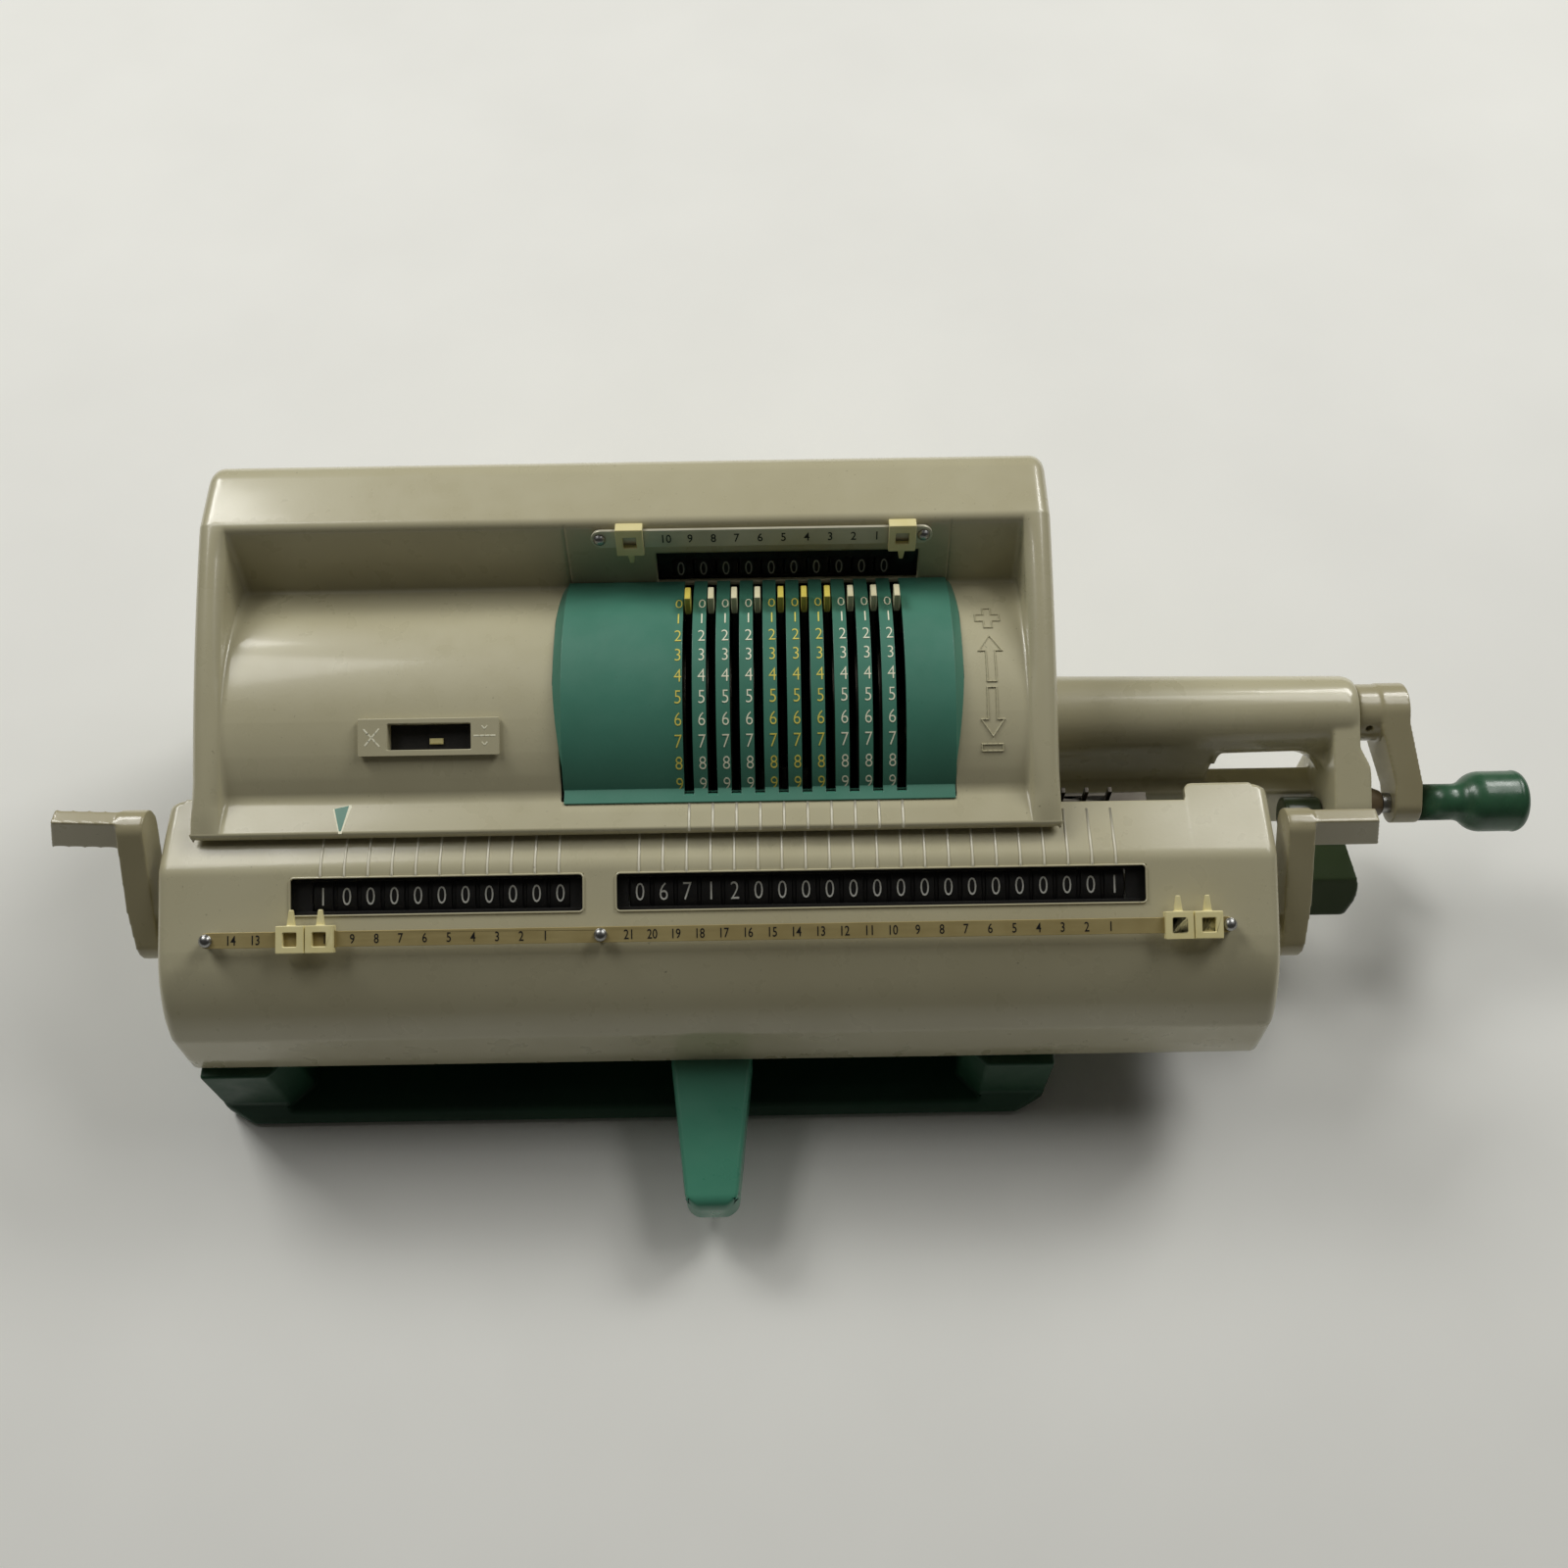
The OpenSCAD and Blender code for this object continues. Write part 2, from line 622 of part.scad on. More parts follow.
// The sign window sits on the beige arc, where the arc slopes by its tilt
sign_tilt = 28.5;
recess_chord = wall_foot - recess_foot;
recess_r = (recess_chord * recess_chord / 4 + recess_sag * recess_sag) / (2 * recess_sag);
recess_mid = (wall_foot + recess_foot) / 2
    + [-recess_chord[1], recess_chord[0]] / norm(recess_chord) * (recess_sag - recess_r);
sign_at = recess_mid + recess_r * [-sin(sign_tilt), cos(sign_tilt)];
module on_sign() translate([sign_x, sign_at[0], sign_at[1]]) rotate([sign_tilt, 0, 0]) children();
sign_open = [24.5, 7.6];
sign_open_x = 0.2;
slide_l = sign_open[0] - sign_travel - 1;

module sign_window_frame() color(beige) on_sign() difference() {
    union() {
        translate([-sign_w / 2, -sign_h / 2, 0.3]) cube([sign_w, sign_h, 1.3]);
        translate([-sign_w / 2 + 1, -sign_h / 2 + 1, -5]) cube([sign_w - 2, sign_h - 2, 5.5]);
    }
    translate([sign_open_x - sign_open[0] / 2, -sign_open[1] / 2, -4])
        cube([sign_open[0], sign_open[1], 7]);
}
module sign_slide() color(black) on_sign()
    translate([sign_open_x + sign_open[0] / 2 - slide_l - 0.5, -sign_open[1] / 2 + 0.15, -3.9])
        cube([slide_l, sign_open[1] - 0.3, 1.6]);

// Setting levers and check wheels

// A plate that turns on the sleeve: its rim carries the wheel over, and its tip stands out of the slot
module setting_lever(i) {
    back = 180 - lever_zero;
    far = back + lever_half;
    rim_start = back - 9 * digit_step - 28;
    rim = mesh_r - mesh_gap / 2;
    lever_hub = sleeve_r + 5;
    color(i == 1 || i == 2 || i == 3 || i > 6 ? cream : [0.85, 0.76, 0.25])
        along_x(slot_x(i) - lever_t / 2, slot_x(i) + lever_t / 2) difference() {
            polygon(concat(
                arc(shaft, rim, rim_start, back - lever_half, 46),
                arc(shaft, lever_tip_r, back - lever_half, far, 4),
                arc(shaft, lever_hub, far, rim_start + 360, 36)
            ));
            translate(shaft) circle(sleeve_r + run);
        }
}

module check_wheel(i) color(black) difference() {
    union() {
        rod(slot_x(i) - 5.5, slot_x(i) + 0.9, check_r, check_shaft);
        rod(slot_x(i) - lever_t / 2, slot_x(i) + lever_t / 2, check_dist - mesh_r - mesh_gap / 2, check_shaft);
    }
    rod(slot_x(i) - 6.5, slot_x(i) + 2, check_shaft_r + run, check_shaft);
}

// Main shaft and crank

module main_shaft() color(steel) rod(frame_left[0] - 0.5, hub_end - 3, shaft_r, shaft);

module pinwheel_rotor() color([0.55, 0.55, 0.56]) difference() {
    union() {
        rod(slot_x(0) - pitch, slot_x(levers - 1) + 4, sleeve_r, shaft);
        for (i = [0:levers - 1]) rod(slot_x(i) - 5.6, slot_x(i) - 1.4, disc_r, shaft);
    }
    rod(slot_x(0) - pitch - cut, slot_x(levers - 1) + 4 + cut, shaft_r, shaft);
}

module crank_arm() color(beige) on_crank() difference() {
    union() {
        rod(hub_start, hub_end - 1, hub_r, [0, 0]);
        intersection() {
            along_x(hub_start, arm_end + cut) strap([0, 0], hub_r + 0.3, [-crank_r, 0], 6.5);
            linear_extrude(60, center = true) polygon([
                [hub_end - crank_t, 20], [hub_end - crank_t, -6], [arm_start, -crank_r + 6], [arm_start, -60],
                [arm_end, -60], [arm_end, -crank_r + 6], [hub_end, -4], [hub_end, 20]
            ]);
        }
    }
    rod(hub_start - cut, hub_end - 3, shaft_r, [0, 0]);
    rod(arm_start - cut, arm_end + cut, stud_r, [-crank_r, 0]);
    // Hole of the set screw, towards the front of the hub
    translate([hub_start + 3.6, 0, 0]) rotate([38, 0, 0]) cylinder(h = hub_r + cut, r = 1.1);
}

module knob_stud() color(black) on_crank() {
    rod(leg_end + boss_l + stud_gap, knob_start + knob_l - 6, stud_r, [-crank_r, 0]);
    rod(leg_end + boss_l + stud_gap, arm_start, stud_r + 1, [-crank_r, 0]);
}

module crank_knob() color([0.16, 0.30, 0.20]) on_crank()
    translate([knob_start, -crank_r, 0]) rotate([0, 90, 0]) difference() {
        rotate_extrude() polygon(concat(
            [[0, 0], [5.9, 0], [5.9, 11]],
            bow([5.9, 11], [7.6, 15], 0.5, 4), bow([7.6, 15], [knob_r, 20], -0.5, 4),
            [[knob_r, knob_l - 4]], arc([knob_r - 3, knob_l - 3.2], 3.2, 5, 84, 6), [[0, knob_l]]
        ));
        translate([0, 0, -cut]) cylinder(h = knob_l - 6 + cut + 0.1, r = stud_r + run);
    }

module arm_housing() color(beige) difference() {
    union() {
        translate([0, shaft_y, shaft_z]) rotate([0, 90, 0]) rotate_extrude() polygon([
            [0, frame_right[1]], [tube_r, frame_right[1]], [tube_r, hood_right + 6],
            [tube_end_r, tube_end - 3], [tube_end_r - 0.6, tube_end - 0.9], [tube_end_r - 1.8, tube_end], [0, tube_end]
        ]);
        // Web next to the hood, beam along the bottom, leg at the end
        block([hood_right + 0.3, shaft_y - tube_r + 0.6, base_top - 8],
            [hood_right + web_w, shaft_y + 4, shaft_z]);
        block([hood_right + 0.3, shaft_y - 18, base_top - 8], [leg_end, shaft_y - 8, base_top + 13]);
        on_crank() difference() {
            along_x(leg_start, leg_end) strap([0, 0], tube_end_r - 1.2, [-crank_r, 0], 11);
            // The leg stands back behind the crank's hub
            linear_extrude(60, center = true) polygon([
                [tube_end, 30], [tube_end, -11.5], [leg_end - 0.6, -17], [leg_end + 1, -24], [leg_end + 1, 30]
            ]);
        }
        block([leg_start, shaft_y - 18, base_top - 8], [leg_end, shaft_y - 1, shaft_z - hub_r - hub_gap]);
        // Round corners between the tube and the leg, and between the tube and the web
        on_crank() translate([0, 0, -6]) linear_extrude(9) polygon(concat(
            [[leg_start + 1, 1 - tube_end_r], [leg_start - 9, 1 - tube_end_r]],
            bow([leg_start - 9, -tube_end_r], [leg_start + 0.2, -tube_end_r - 9.5], 2.6, 8),
            [[leg_start + 1, -tube_end_r - 9.5]]
        ));
        on_crank() translate([0, 0, -4]) linear_extrude(7) polygon(concat(
            [[hood_right + web_w - 1, -tube_end_r - 4]],
            bow([hood_right + web_w, -tube_end_r - 4], [hood_right + web_w + 4, -tube_end_r], 1.1, 6),
            [[hood_right + web_w + 4, 1 - tube_end_r], [hood_right + web_w - 1, 1 - tube_end_r]]
        ));
    }
    rod(frame_right[1] - cut, leg_end + cut, shaft_r + run, shaft);
    rod(leg_start - cut, leg_end + cut, pad_pin_r + run, pad_pivot);
    // The beam clears the base's side
    block([hood_right - cut, shaft_y - 30, base_top - 9], [base_right + 0.3, shaft_y + 5, base_top + 0.3]);
}

module crank_lock_boss() color([0.45, 0.40, 0.30]) on_crank()
    cone(leg_end, leg_end + boss_l, 6.4, 4, [-crank_r, 0]);

module dial_clear_lever() {
    x1 = leg_start - 0.3;
    color([0.22, 0.26, 0.16]) {
        rod(x1 - 12, x1, 6, pad_pivot);
        rod(x1 - 1, leg_end - 1, pad_pin_r, pad_pivot);
        along_x(x1 - 12, x1 - 4) strap(pad_pivot, 4, [-18, 46], 3.5);
        intersection() {
            along_x(x1 - 12, x1 - 12 + pad_w) polygon([
                [-14.5, 52.5], [-25.5, 47.5], [-33, 37], [-31.5, 35], [-29, 35.4], [-23, 42.5], [-14, 45]
            ]);
            // Outline with a slanted side and a rounded corner
            on_crank() linear_extrude(200, center = true) polygon([
                [x1 - 13, -20], [x1 - 16 + pad_w, -20], [x1 - 16 + pad_w, -42], [x1 - 12 + pad_w, -56],
                [x1 - 12.5 + pad_w, -60], [x1 - 15 + pad_w, -64.5], [x1 - 19 + pad_w, -67], [x1 - 13, -67]
            ]);
        }
    }
}

// Carriage

function cover_line(back) =
    concat([[back, car_top], crease], bow(slope_end, front_top, -front_sag, 12), [front_bottom]);

module carriage_cover() color(beige) difference() {
    union() {
        along_x(car_left, car_right)
            polygon(concat(cover_line(car_back), reversed(beside(cover_line(car_back), car_t))));
        for (side = [-1, 1]) translate([car_x, 0, 0]) scale([side, 1, 1]) {
            edge = car_w / 2;
            corner = [edge - corner_r, shoulder_back - corner_r];
            // Shoulder, end plate, and the rounded upright between them
            translate([0, 0, car_top - car_t]) linear_extrude(car_t) polygon(concat(
                [[edge - shoulder_w, car_back - cut], [edge, car_back - cut]], arc(corner, corner_r, 0, 90),
                arc([edge - shoulder_w + 2.5, shoulder_back - 2.5], 2.5, 90, 180)
            ));
            along_x(edge - car_t, edge)
                polygon(concat(cover_line(corner[1]), [[corner[1], car_bottom]]));
            translate([0, 0, car_bottom]) linear_extrude(car_top - car_bottom)
                polygon(concat(arc(corner, corner_r, 0, 90), arc(corner, corner_r - car_t, 90, 0)));
        }
    }
    for (w = register_views)
        on_slope() translate([w[0] - w[1] / 2, -win_h / 2, -6]) cube([w[1], win_h, 12]);
    for (side = [-1, 1]) {
        x = side > 0 ? car_right : car_left;
        rod(x - car_t - cut, x + car_t + cut, wing_stud_r + seat, wing_pivot(side));
    }
    lower_screw_places() translate([0, 0, -car_t - 3]) cylinder(h = car_t + 6, r = 1.2 + seat);
}

module register_windows() color([0.1, 0.1, 0.1, 0.5])
    for (w = register_views)
        on_slope() translate([w[0] - w[1] / 2, -win_h / 2, -1.2]) cube([w[1], win_h, 0.8]);

// Plates that carry the register shafts, at the ends and between the registers
bracket_x = [counter_first - 12, counter_first + pitch * (counter_digits - 1) + 8, result_first + pitch * result_digits + 3];

module carriage_chassis() color(steel) difference() {
    union() {
        block([car_left + car_t, -60, chassis_z[0]], [car_right - car_t, -14, chassis_z[1]]);
        for (x = bracket_x)
            along_x(x, x + 3) polygon([
                [-48, chassis_z[0]], [-14, chassis_z[0]], [-14, 79], [-26, 79], [-32, 76], [-44, 72]
            ]);
        for (side = [-1, 1]) {
            x = car_x + side * bearing_reach - bearing_w / 2;
            block([x, rail_y - 8, rail_z - 7], [x + bearing_w, rail_y + 8, chassis_z[1]]);
        }
    }
    rod(car_left, car_right, rail_r + run, [rail_y, rail_z]);
    rod(car_left, car_right, reg_shaft_r + seat, reg_shaft);
    rod(car_left, car_right, transfer_shaft_r + seat, transfer_shaft);
}

module register_shafts() color(steel) {
    rod(car_left + car_t + 0.3, car_right - car_t - 0.3, reg_shaft_r, reg_shaft);
    // Studs of the clearing levers, each with a flange behind the end plate
    for (side = [-1, 1]) {
        plate = side > 0 ? car_right - car_t : car_left + car_t;
        stud = side > 0 ? [plate - 3, car_right + wing_gap + wing_t - 3.2] : [car_left - wing_gap - wing_t + 3.2, plate + 3];
        flange = side > 0 ? [plate - 3, plate] : [plate, plate + 3];
        rod(stud[0], stud[1], wing_stud_r, wing_pivot(side));
        rod(flange[0], flange[1], wing_stud_r + 3, wing_pivot(side));
    }
    rod(bracket_x[1] - 1, bracket_x[2] + 4, transfer_shaft_r, transfer_shaft);
}

// A register's wheels, one digit drum and one gear each, all on one shaft
module wheel_row(first, count) difference() {
    union() {
        for (i = [0:count - 1]) rod(first + i * pitch - 2.9, first + i * pitch + 2.9, wheel_r, reg_shaft);
        rod(first - 3.3, first + (count - 1) * pitch + 3.3, reg_shaft_r + 2, reg_shaft);
    }
    rod(first - 6, first + count * pitch, reg_shaft_r + run, reg_shaft);
}
module counter_wheels() color(black) wheel_row(counter_first, counter_digits);
module result_wheels() color(black) wheel_row(result_first, result_digits);

module transfer_gears() color([0.65, 0.6, 0.45]) difference() {
    union() {
        rod(result_first - 3.3, result_first + (result_digits - 1) * pitch + 3.3, transfer_shaft_r + 2, transfer_shaft);
        for (i = [0:result_digits - 1])
            rod(result_first + i * pitch - 1.2, result_first + i * pitch + 1.2, transfer_r, transfer_shaft);
    }
    rod(result_first - 6, result_first + result_digits * pitch, transfer_shaft_r + run, transfer_shaft);
}

module carry_levers() color(steel) {
    block([bracket_x[1], -15, 79], [bracket_x[2] + 3, -11, 80.5]);
    for (i = [0:result_digits - 1])
        block([result_first + i * pitch + 0.4, -14, 80], [result_first + i * pitch + 1.6, -12.2, 86]);
}

module carriage_scale_bar() color([0.62, 0.58, 0.42]) difference() {
    on_slope() translate([lower_bar_x, lower_bar_y, lower_standoff])
        linear_extrude(bar_t) bar_outline(lower_bar_l, lower_bar_h);
    lower_screw_places() cylinder(h = 10, r = 1.2 + seat);
}
module carriage_scale_screws() color(steel) lower_screw_places() bar_screw(lower_standoff);

// Clearing lever for one end, drawn as on the right: side is -1 on the left and 1 on the right
module clearing_lever(side) {
    edge = side > 0 ? car_right : -car_left;
    x0 = edge + wing_gap;
    x1 = x0 + wing_t;
    pivot = wing_pivot(side);
    top = wing_top(side);
    color(beige) scale([side, 1, 1]) difference() {
        union() {
            // Wing that grows thinner towards its pivot
            intersection() {
                along_x(x0, x1) strap(pivot, 6.4, top, 6);
                translate([0, 0, pivot[1]]) rotate([90, 0, 0]) linear_extrude(200, center = true)
                    polygon([[x0 - 1, -20], [x1 - 2.6, -20], [x1 - 2.2, -4], [x1, 12], [x1, 60], [x0 - 1, 60]]);
            }
            rod(edge + 0.3, x0 + 1, 6.1, pivot);
            // Grip
            translate([x1 - 1, top[0], top[1]]) rotate([-12, side > 0 ? 0 : -5, 0]) translate([0, -2.5, 0])
                rotate([-90, 0, 0]) linear_extrude(5)
                    polygon([[-3, -5.6], [grip_l - 1.5, -5.6], [grip_l + 1, 5.6], [-3, 5.6]]);
        }
        rod(edge - 1, x1 - 3, wing_stud_r + run, pivot);
    }
}

module carriage_shift_handle() {
    top_z = 33.5;
    tip_z = 27;
    root_y = -56;
    color(green) intersection() {
        along_x(car_x - 30, car_x + 30) polygon(concat(
            [[root_y, chassis_z[0]], [root_y, top_z - 6.5], [-74, top_z - 6.5], [-84, top_z - 12]],
            [[handle_tip_y + 3, 11]], [[handle_tip_y, 14]],
            arc([handle_tip_y + 4.5, tip_z - 4.5], 4.5, 180, 98, 6),
            [[-78.5, top_z], [-75, top_z], [root_y - 8, chassis_z[0]]]
        ));
        linear_extrude(base_top + 20) polygon([
            [car_x - 3.9 - handle_root_w / 2, root_y + cut], [car_x - 3.9 + handle_root_w / 2, root_y + cut],
            [car_x - 3.9 + handle_root_w / 2, -78], [car_x - 3.9 + handle_tip_w / 2, handle_tip_y + 3],
            [car_x - 3.9 + handle_tip_w / 2 - 3, handle_tip_y], [car_x - 3.9 - handle_tip_w / 2 + 3, handle_tip_y],
            [car_x - 3.9 - handle_tip_w / 2, handle_tip_y + 3], [car_x - 3.9 - handle_root_w / 2, -78]
        ]);
    }
}

// The middle of the base lies this far from the origin
translate([-first_foot[0], -first_foot[1], 0]) {
    base_casting();
    rubber_feet();
    side_frames();
    hood_cover();
    dial_cover();
    check_window();
    check_scale_bar();
    check_scale_screws();
    check_wheel_shaft();
    sign_window_frame();
    sign_slide();
    arm_housing();
    crank_lock_boss();
    carriage_rail();
    main_shaft();
    pinwheel_rotor();
    crank_arm();
    crank_knob();
    knob_stud();
    dial_clear_lever();
    setting_lever(0);  // setting_lever_01
    setting_lever(1);  // setting_lever_02
    setting_lever(2);  // setting_lever_03
    setting_lever(3);  // setting_lever_04
    setting_lever(4);  // setting_lever_05
    setting_lever(5);  // setting_lever_06
    setting_lever(6);  // setting_lever_07
    setting_lever(7);  // setting_lever_08
    setting_lever(8);  // setting_lever_09
    setting_lever(9);  // setting_lever_10
    check_wheel(0);  // check_wheel_01
    check_wheel(1);  // check_wheel_02
    check_wheel(2);  // check_wheel_03
    check_wheel(3);  // check_wheel_04
    check_wheel(4);  // check_wheel_05
    check_wheel(5);  // check_wheel_06
    check_wheel(6);  // check_wheel_07
    check_wheel(7);  // check_wheel_08
    check_wheel(8);  // check_wheel_09
    check_wheel(9);  // check_wheel_10
    check_marker(check_marker_x[0]);  // check_marker_left
    check_marker(check_marker_x[1]);  // check_marker_right
    carriage_cover();
    carriage_chassis();
    register_windows();
    register_shafts();
    counter_wheels();
    result_wheels();
    transfer_gears();
    carry_levers();
    carriage_scale_bar();
    carriage_scale_screws();
    slope_marker(counter_marker_x[0]);  // counter_marker_left
    slope_marker(counter_marker_x[1]);  // counter_marker_right
    slope_marker(result_marker_x[0]);  // result_marker_left
    slope_marker(result_marker_x[1]);  // result_marker_right
    clearing_lever(-1);  // left_clearing_lever
    clearing_lever(1);  // right_clearing_lever
    carriage_shift_handle();
}
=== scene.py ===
"""A pinwheel calculator on a pale table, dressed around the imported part. Sizes are in millimetres."""
import math

import bmesh
import bpy
from mathutils import Matrix, Vector


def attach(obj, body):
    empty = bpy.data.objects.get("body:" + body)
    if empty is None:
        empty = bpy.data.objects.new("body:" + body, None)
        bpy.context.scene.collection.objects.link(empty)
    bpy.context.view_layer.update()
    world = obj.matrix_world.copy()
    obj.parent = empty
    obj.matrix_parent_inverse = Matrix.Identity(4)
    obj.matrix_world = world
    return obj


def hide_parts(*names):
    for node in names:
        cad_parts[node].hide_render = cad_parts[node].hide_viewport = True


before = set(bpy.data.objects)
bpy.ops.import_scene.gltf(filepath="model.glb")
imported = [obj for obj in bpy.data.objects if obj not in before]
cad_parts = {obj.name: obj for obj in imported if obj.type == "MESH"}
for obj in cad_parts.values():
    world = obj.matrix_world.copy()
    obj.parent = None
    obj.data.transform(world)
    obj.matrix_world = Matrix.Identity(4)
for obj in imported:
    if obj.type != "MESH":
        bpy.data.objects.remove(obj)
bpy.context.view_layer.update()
MM = 0.001
# The origin lies under the front left foot, and the places below are measured from the middle of the base
MIDDLE = Vector((0.1185, 0.0635, 0.0))

# Places that the part's source states. A pair is (y, z), and a name that ends in _X holds (left, right).
BASE_TOP = 32.0
HOOD_X = (-124.9, 131.6)
HOOD_FRONT = -9.0
HOOD_TOP = 130.0
HOOD_BACK = 85.5
LIP = (-27.2, 91.5)
LIP_Z = 88.5
RECESS_FOOT = (-15.8, 92.2)
RECESS_SAG = 11.2
WALL_FOOT = (51.4, 104.5)
WALL_TOP = (56.31, 130.0)
WALL_LEAN = 10.9
DIAL_X = (-15.45, 101.05)
DIAL_R = 49.2
CAR_X = (-134.9, 195.1)
CAR_TOP = 87.0
CAR_BOTTOM = 34.0
CAR_BACK = -17.3
SHOULDER_BACK = -11.4
SHOULDER_W = 25.0
CORNER_R = 5.0
CREASE = (-35.5, 86.5)
SLOPE = 26.57
SLOPE_END = (-57.0, 75.8)
FRONT_TOP = (-76.5, 53.5)
FRONT_SAG = 3.05
SHAFT = (26.0, 65.0)
REG_SHAFT = (-36.39, 69.28)
WHEEL_R = 12.0
CHECK_SHAFT = (63.2, 104.0)
CHECK_R = 9.0
PITCH = 7.0
LEVERS = 10
SLOTS_MIDDLE = 53.4
LEVER_ZERO = 105.1
COUNTER_FIRST = -86.5
RESULT_FIRST = 7.0
WIN_AT = (-43.1, 82.7)
WIN_H = 10.8

# The middle in x and the width of the counter's window and of the result's
WINDOWS = ((-52.4, 85.9), (78.0, 155.3))
# The check window and the sign window as openings in the hood
CHECK_HOLE_X = (12.15, 92.15)
SIGN_MIDDLE = -54.4
SIGN_TILT = 28.5
SIGN_HOLE_X = (SIGN_MIDDLE - 19.9, SIGN_MIDDLE + 19.9)
SIGN_SEAT = (-SIGN_TILT - 4.7, -SIGN_TILT + 4.7)
# The middle in x of each scale bar, its place up the face that carries it, and how far its front stands out
UPPER_BAR = (44.5, 21.6, 2.6)
LOWER_BAR = (29.8, -12.2, 4.4)
# Digits on the dial: the angle from one to the next, and how far left of its slot each column stands
DIGIT_STEP = 7.63
DIGIT_SHIFT = 2.75
YELLOW_COLUMNS = (0, 4, 5, 6)
CREAM_COLUMNS = (1, 2, 3, 7, 8, 9)
# Each register's name, the x of its first wheel and what its wheels show
REGISTERS = (
    ("counter", COUNTER_FIRST, [1] + [0] * 10),
    ("result", RESULT_FIRST, [0, 6, 7, 1, 2] + [0] * 15 + [1]),
)
# Wheels of each kind: their shaft and radius, the angle at which a digit is read, and its height
CHECK_WHEELS = (CHECK_SHAFT, CHECK_R, 30, 4.4)
REGISTER_WHEELS = (REG_SHAFT, WHEEL_R, 90 - SLOPE, 5.2)
# The thickness of the hood and of the carriage's cover
SHEET = 1.4
# How many points the hood's line has up its front, which is open behind the carriage
FRONT_ROWS = 6
# Heights up the wall at which the hood's line has points. The check window is between the first and number 3.
WALL_ROWS = (2.0, 5.9, 9.8, 13.8, 14.3, 17.5, 21.0)
WINDOW_HEAD = 3
# Where the rim over the recess meets the hood's top
RIM_END = (62.0, HOOD_TOP)
# Seams between the dial's cover and the hood, in x, and the depth and half width of their grooves
SEAMS = (-14.9, 101.6)
SEAM_DEPTH = 0.4
SEAM_HALF = 0.35
# Rows of points up the carriage's back, and round the edge above it
BACK_ROWS = (CAR_BOTTOM, 60.0, 84.0)
EDGE_ROWS = 5
# How far a digit's foot is let into what carries it
SUNK = 0.02
# The longest straight piece of a raised line
PIECE = 2.0


def slot_x(i):
    return SLOTS_MIDDLE + PITCH * (i - 4.5)


def wheel_xs(first, shown):
    return [first + PITCH * i for i in range(len(shown))]


def unit(a):
    a = math.radians(a)
    return math.cos(a), math.sin(a)


def dist(p, q):
    return math.hypot(q[0] - p[0], q[1] - p[1])


def bow_circle(p, q, sag):
    """Middle and radius of the arc from p to q that swells to the left by sag."""
    dy, dz = q[0] - p[0], q[1] - p[1]
    chord = math.hypot(dy, dz)
    r = (chord * chord / 4 + sag * sag) / (2 * sag)
    return ((p[0] + q[0]) / 2 - dz / chord * (sag - r), (p[1] + q[1]) / 2 + dy / chord * (sag - r)), r


def bearing(mid, p):
    return math.atan2(p[1] - mid[1], p[0] - mid[0])


def arc_points(mid, r, start, stop, n):
    """Points on a circle, in n steps from one angle to another."""
    angles = [start + (stop - start) * k / n for k in range(n + 1)]
    return [(mid[0] + r * math.cos(a), mid[1] + r * math.sin(a)) for a in angles]


RECESS_MID, RECESS_R = bow_circle(RECESS_FOOT, WALL_FOOT, RECESS_SAG)


def recess_at(lean):
    """A point of the beige arc beside the dial, at an angle from straight up, towards the back."""
    c, s = unit(lean)
    return RECESS_MID[0] + RECESS_R * s, RECESS_MID[1] + RECESS_R * c


def recess_lean(p):
    """The angle from straight up at which a point of the arc lies."""
    return math.degrees(math.atan2(p[0] - RECESS_MID[0], p[1] - RECESS_MID[1]))


def lip_z(y):
    """Height of the lip's top face."""
    return LIP[1] + (y - LIP[0]) * (RECESS_FOOT[1] - LIP[1]) / (RECESS_FOOT[0] - LIP[0])


# Frames of reference, as matrices from millimetres to metres


def frame_at(x, y, z, tilt):
    """Local x to the right, y up a face that is tilted back by this angle from the level, z out of it."""
    place = Matrix.Translation(Vector((x, y, z)) * MM)
    return place @ Matrix.Rotation(math.radians(tilt), 4, "X") @ Matrix.Scale(MM, 4)


def on_wall(x, s, n=0.0):
    """On the wall over the dial, s up from its foot and n out of it."""
    return frame_at(0, *WALL_FOOT, 90 - WALL_LEAN) @ Matrix.Translation((x, s, n))


def on_slope(x, s, n=0.0):
    """On the carriage's slope, s up from the middle of the windows and n out of it."""
    return frame_at(0, *WIN_AT, SLOPE) @ Matrix.Translation((x, s, n))


def on_cylinder(x, centre, r, up_angle):
    """On a cylinder along X, at an angle from the front, up. Local y points up round it."""
    c, s = unit(up_angle)
    return frame_at(x, centre[0] - r * c, centre[1] + r * s, 90 - up_angle)


def on_recess(x, lean):
    """On the beige arc beside the dial."""
    return frame_at(x, *recess_at(lean), -lean)


# Materials


def lin(r, g, b):
    return tuple(((c / 255 + 0.055) / 1.055) ** 2.4 if c > 10 else c / 255 / 12.92 for c in (r, g, b))


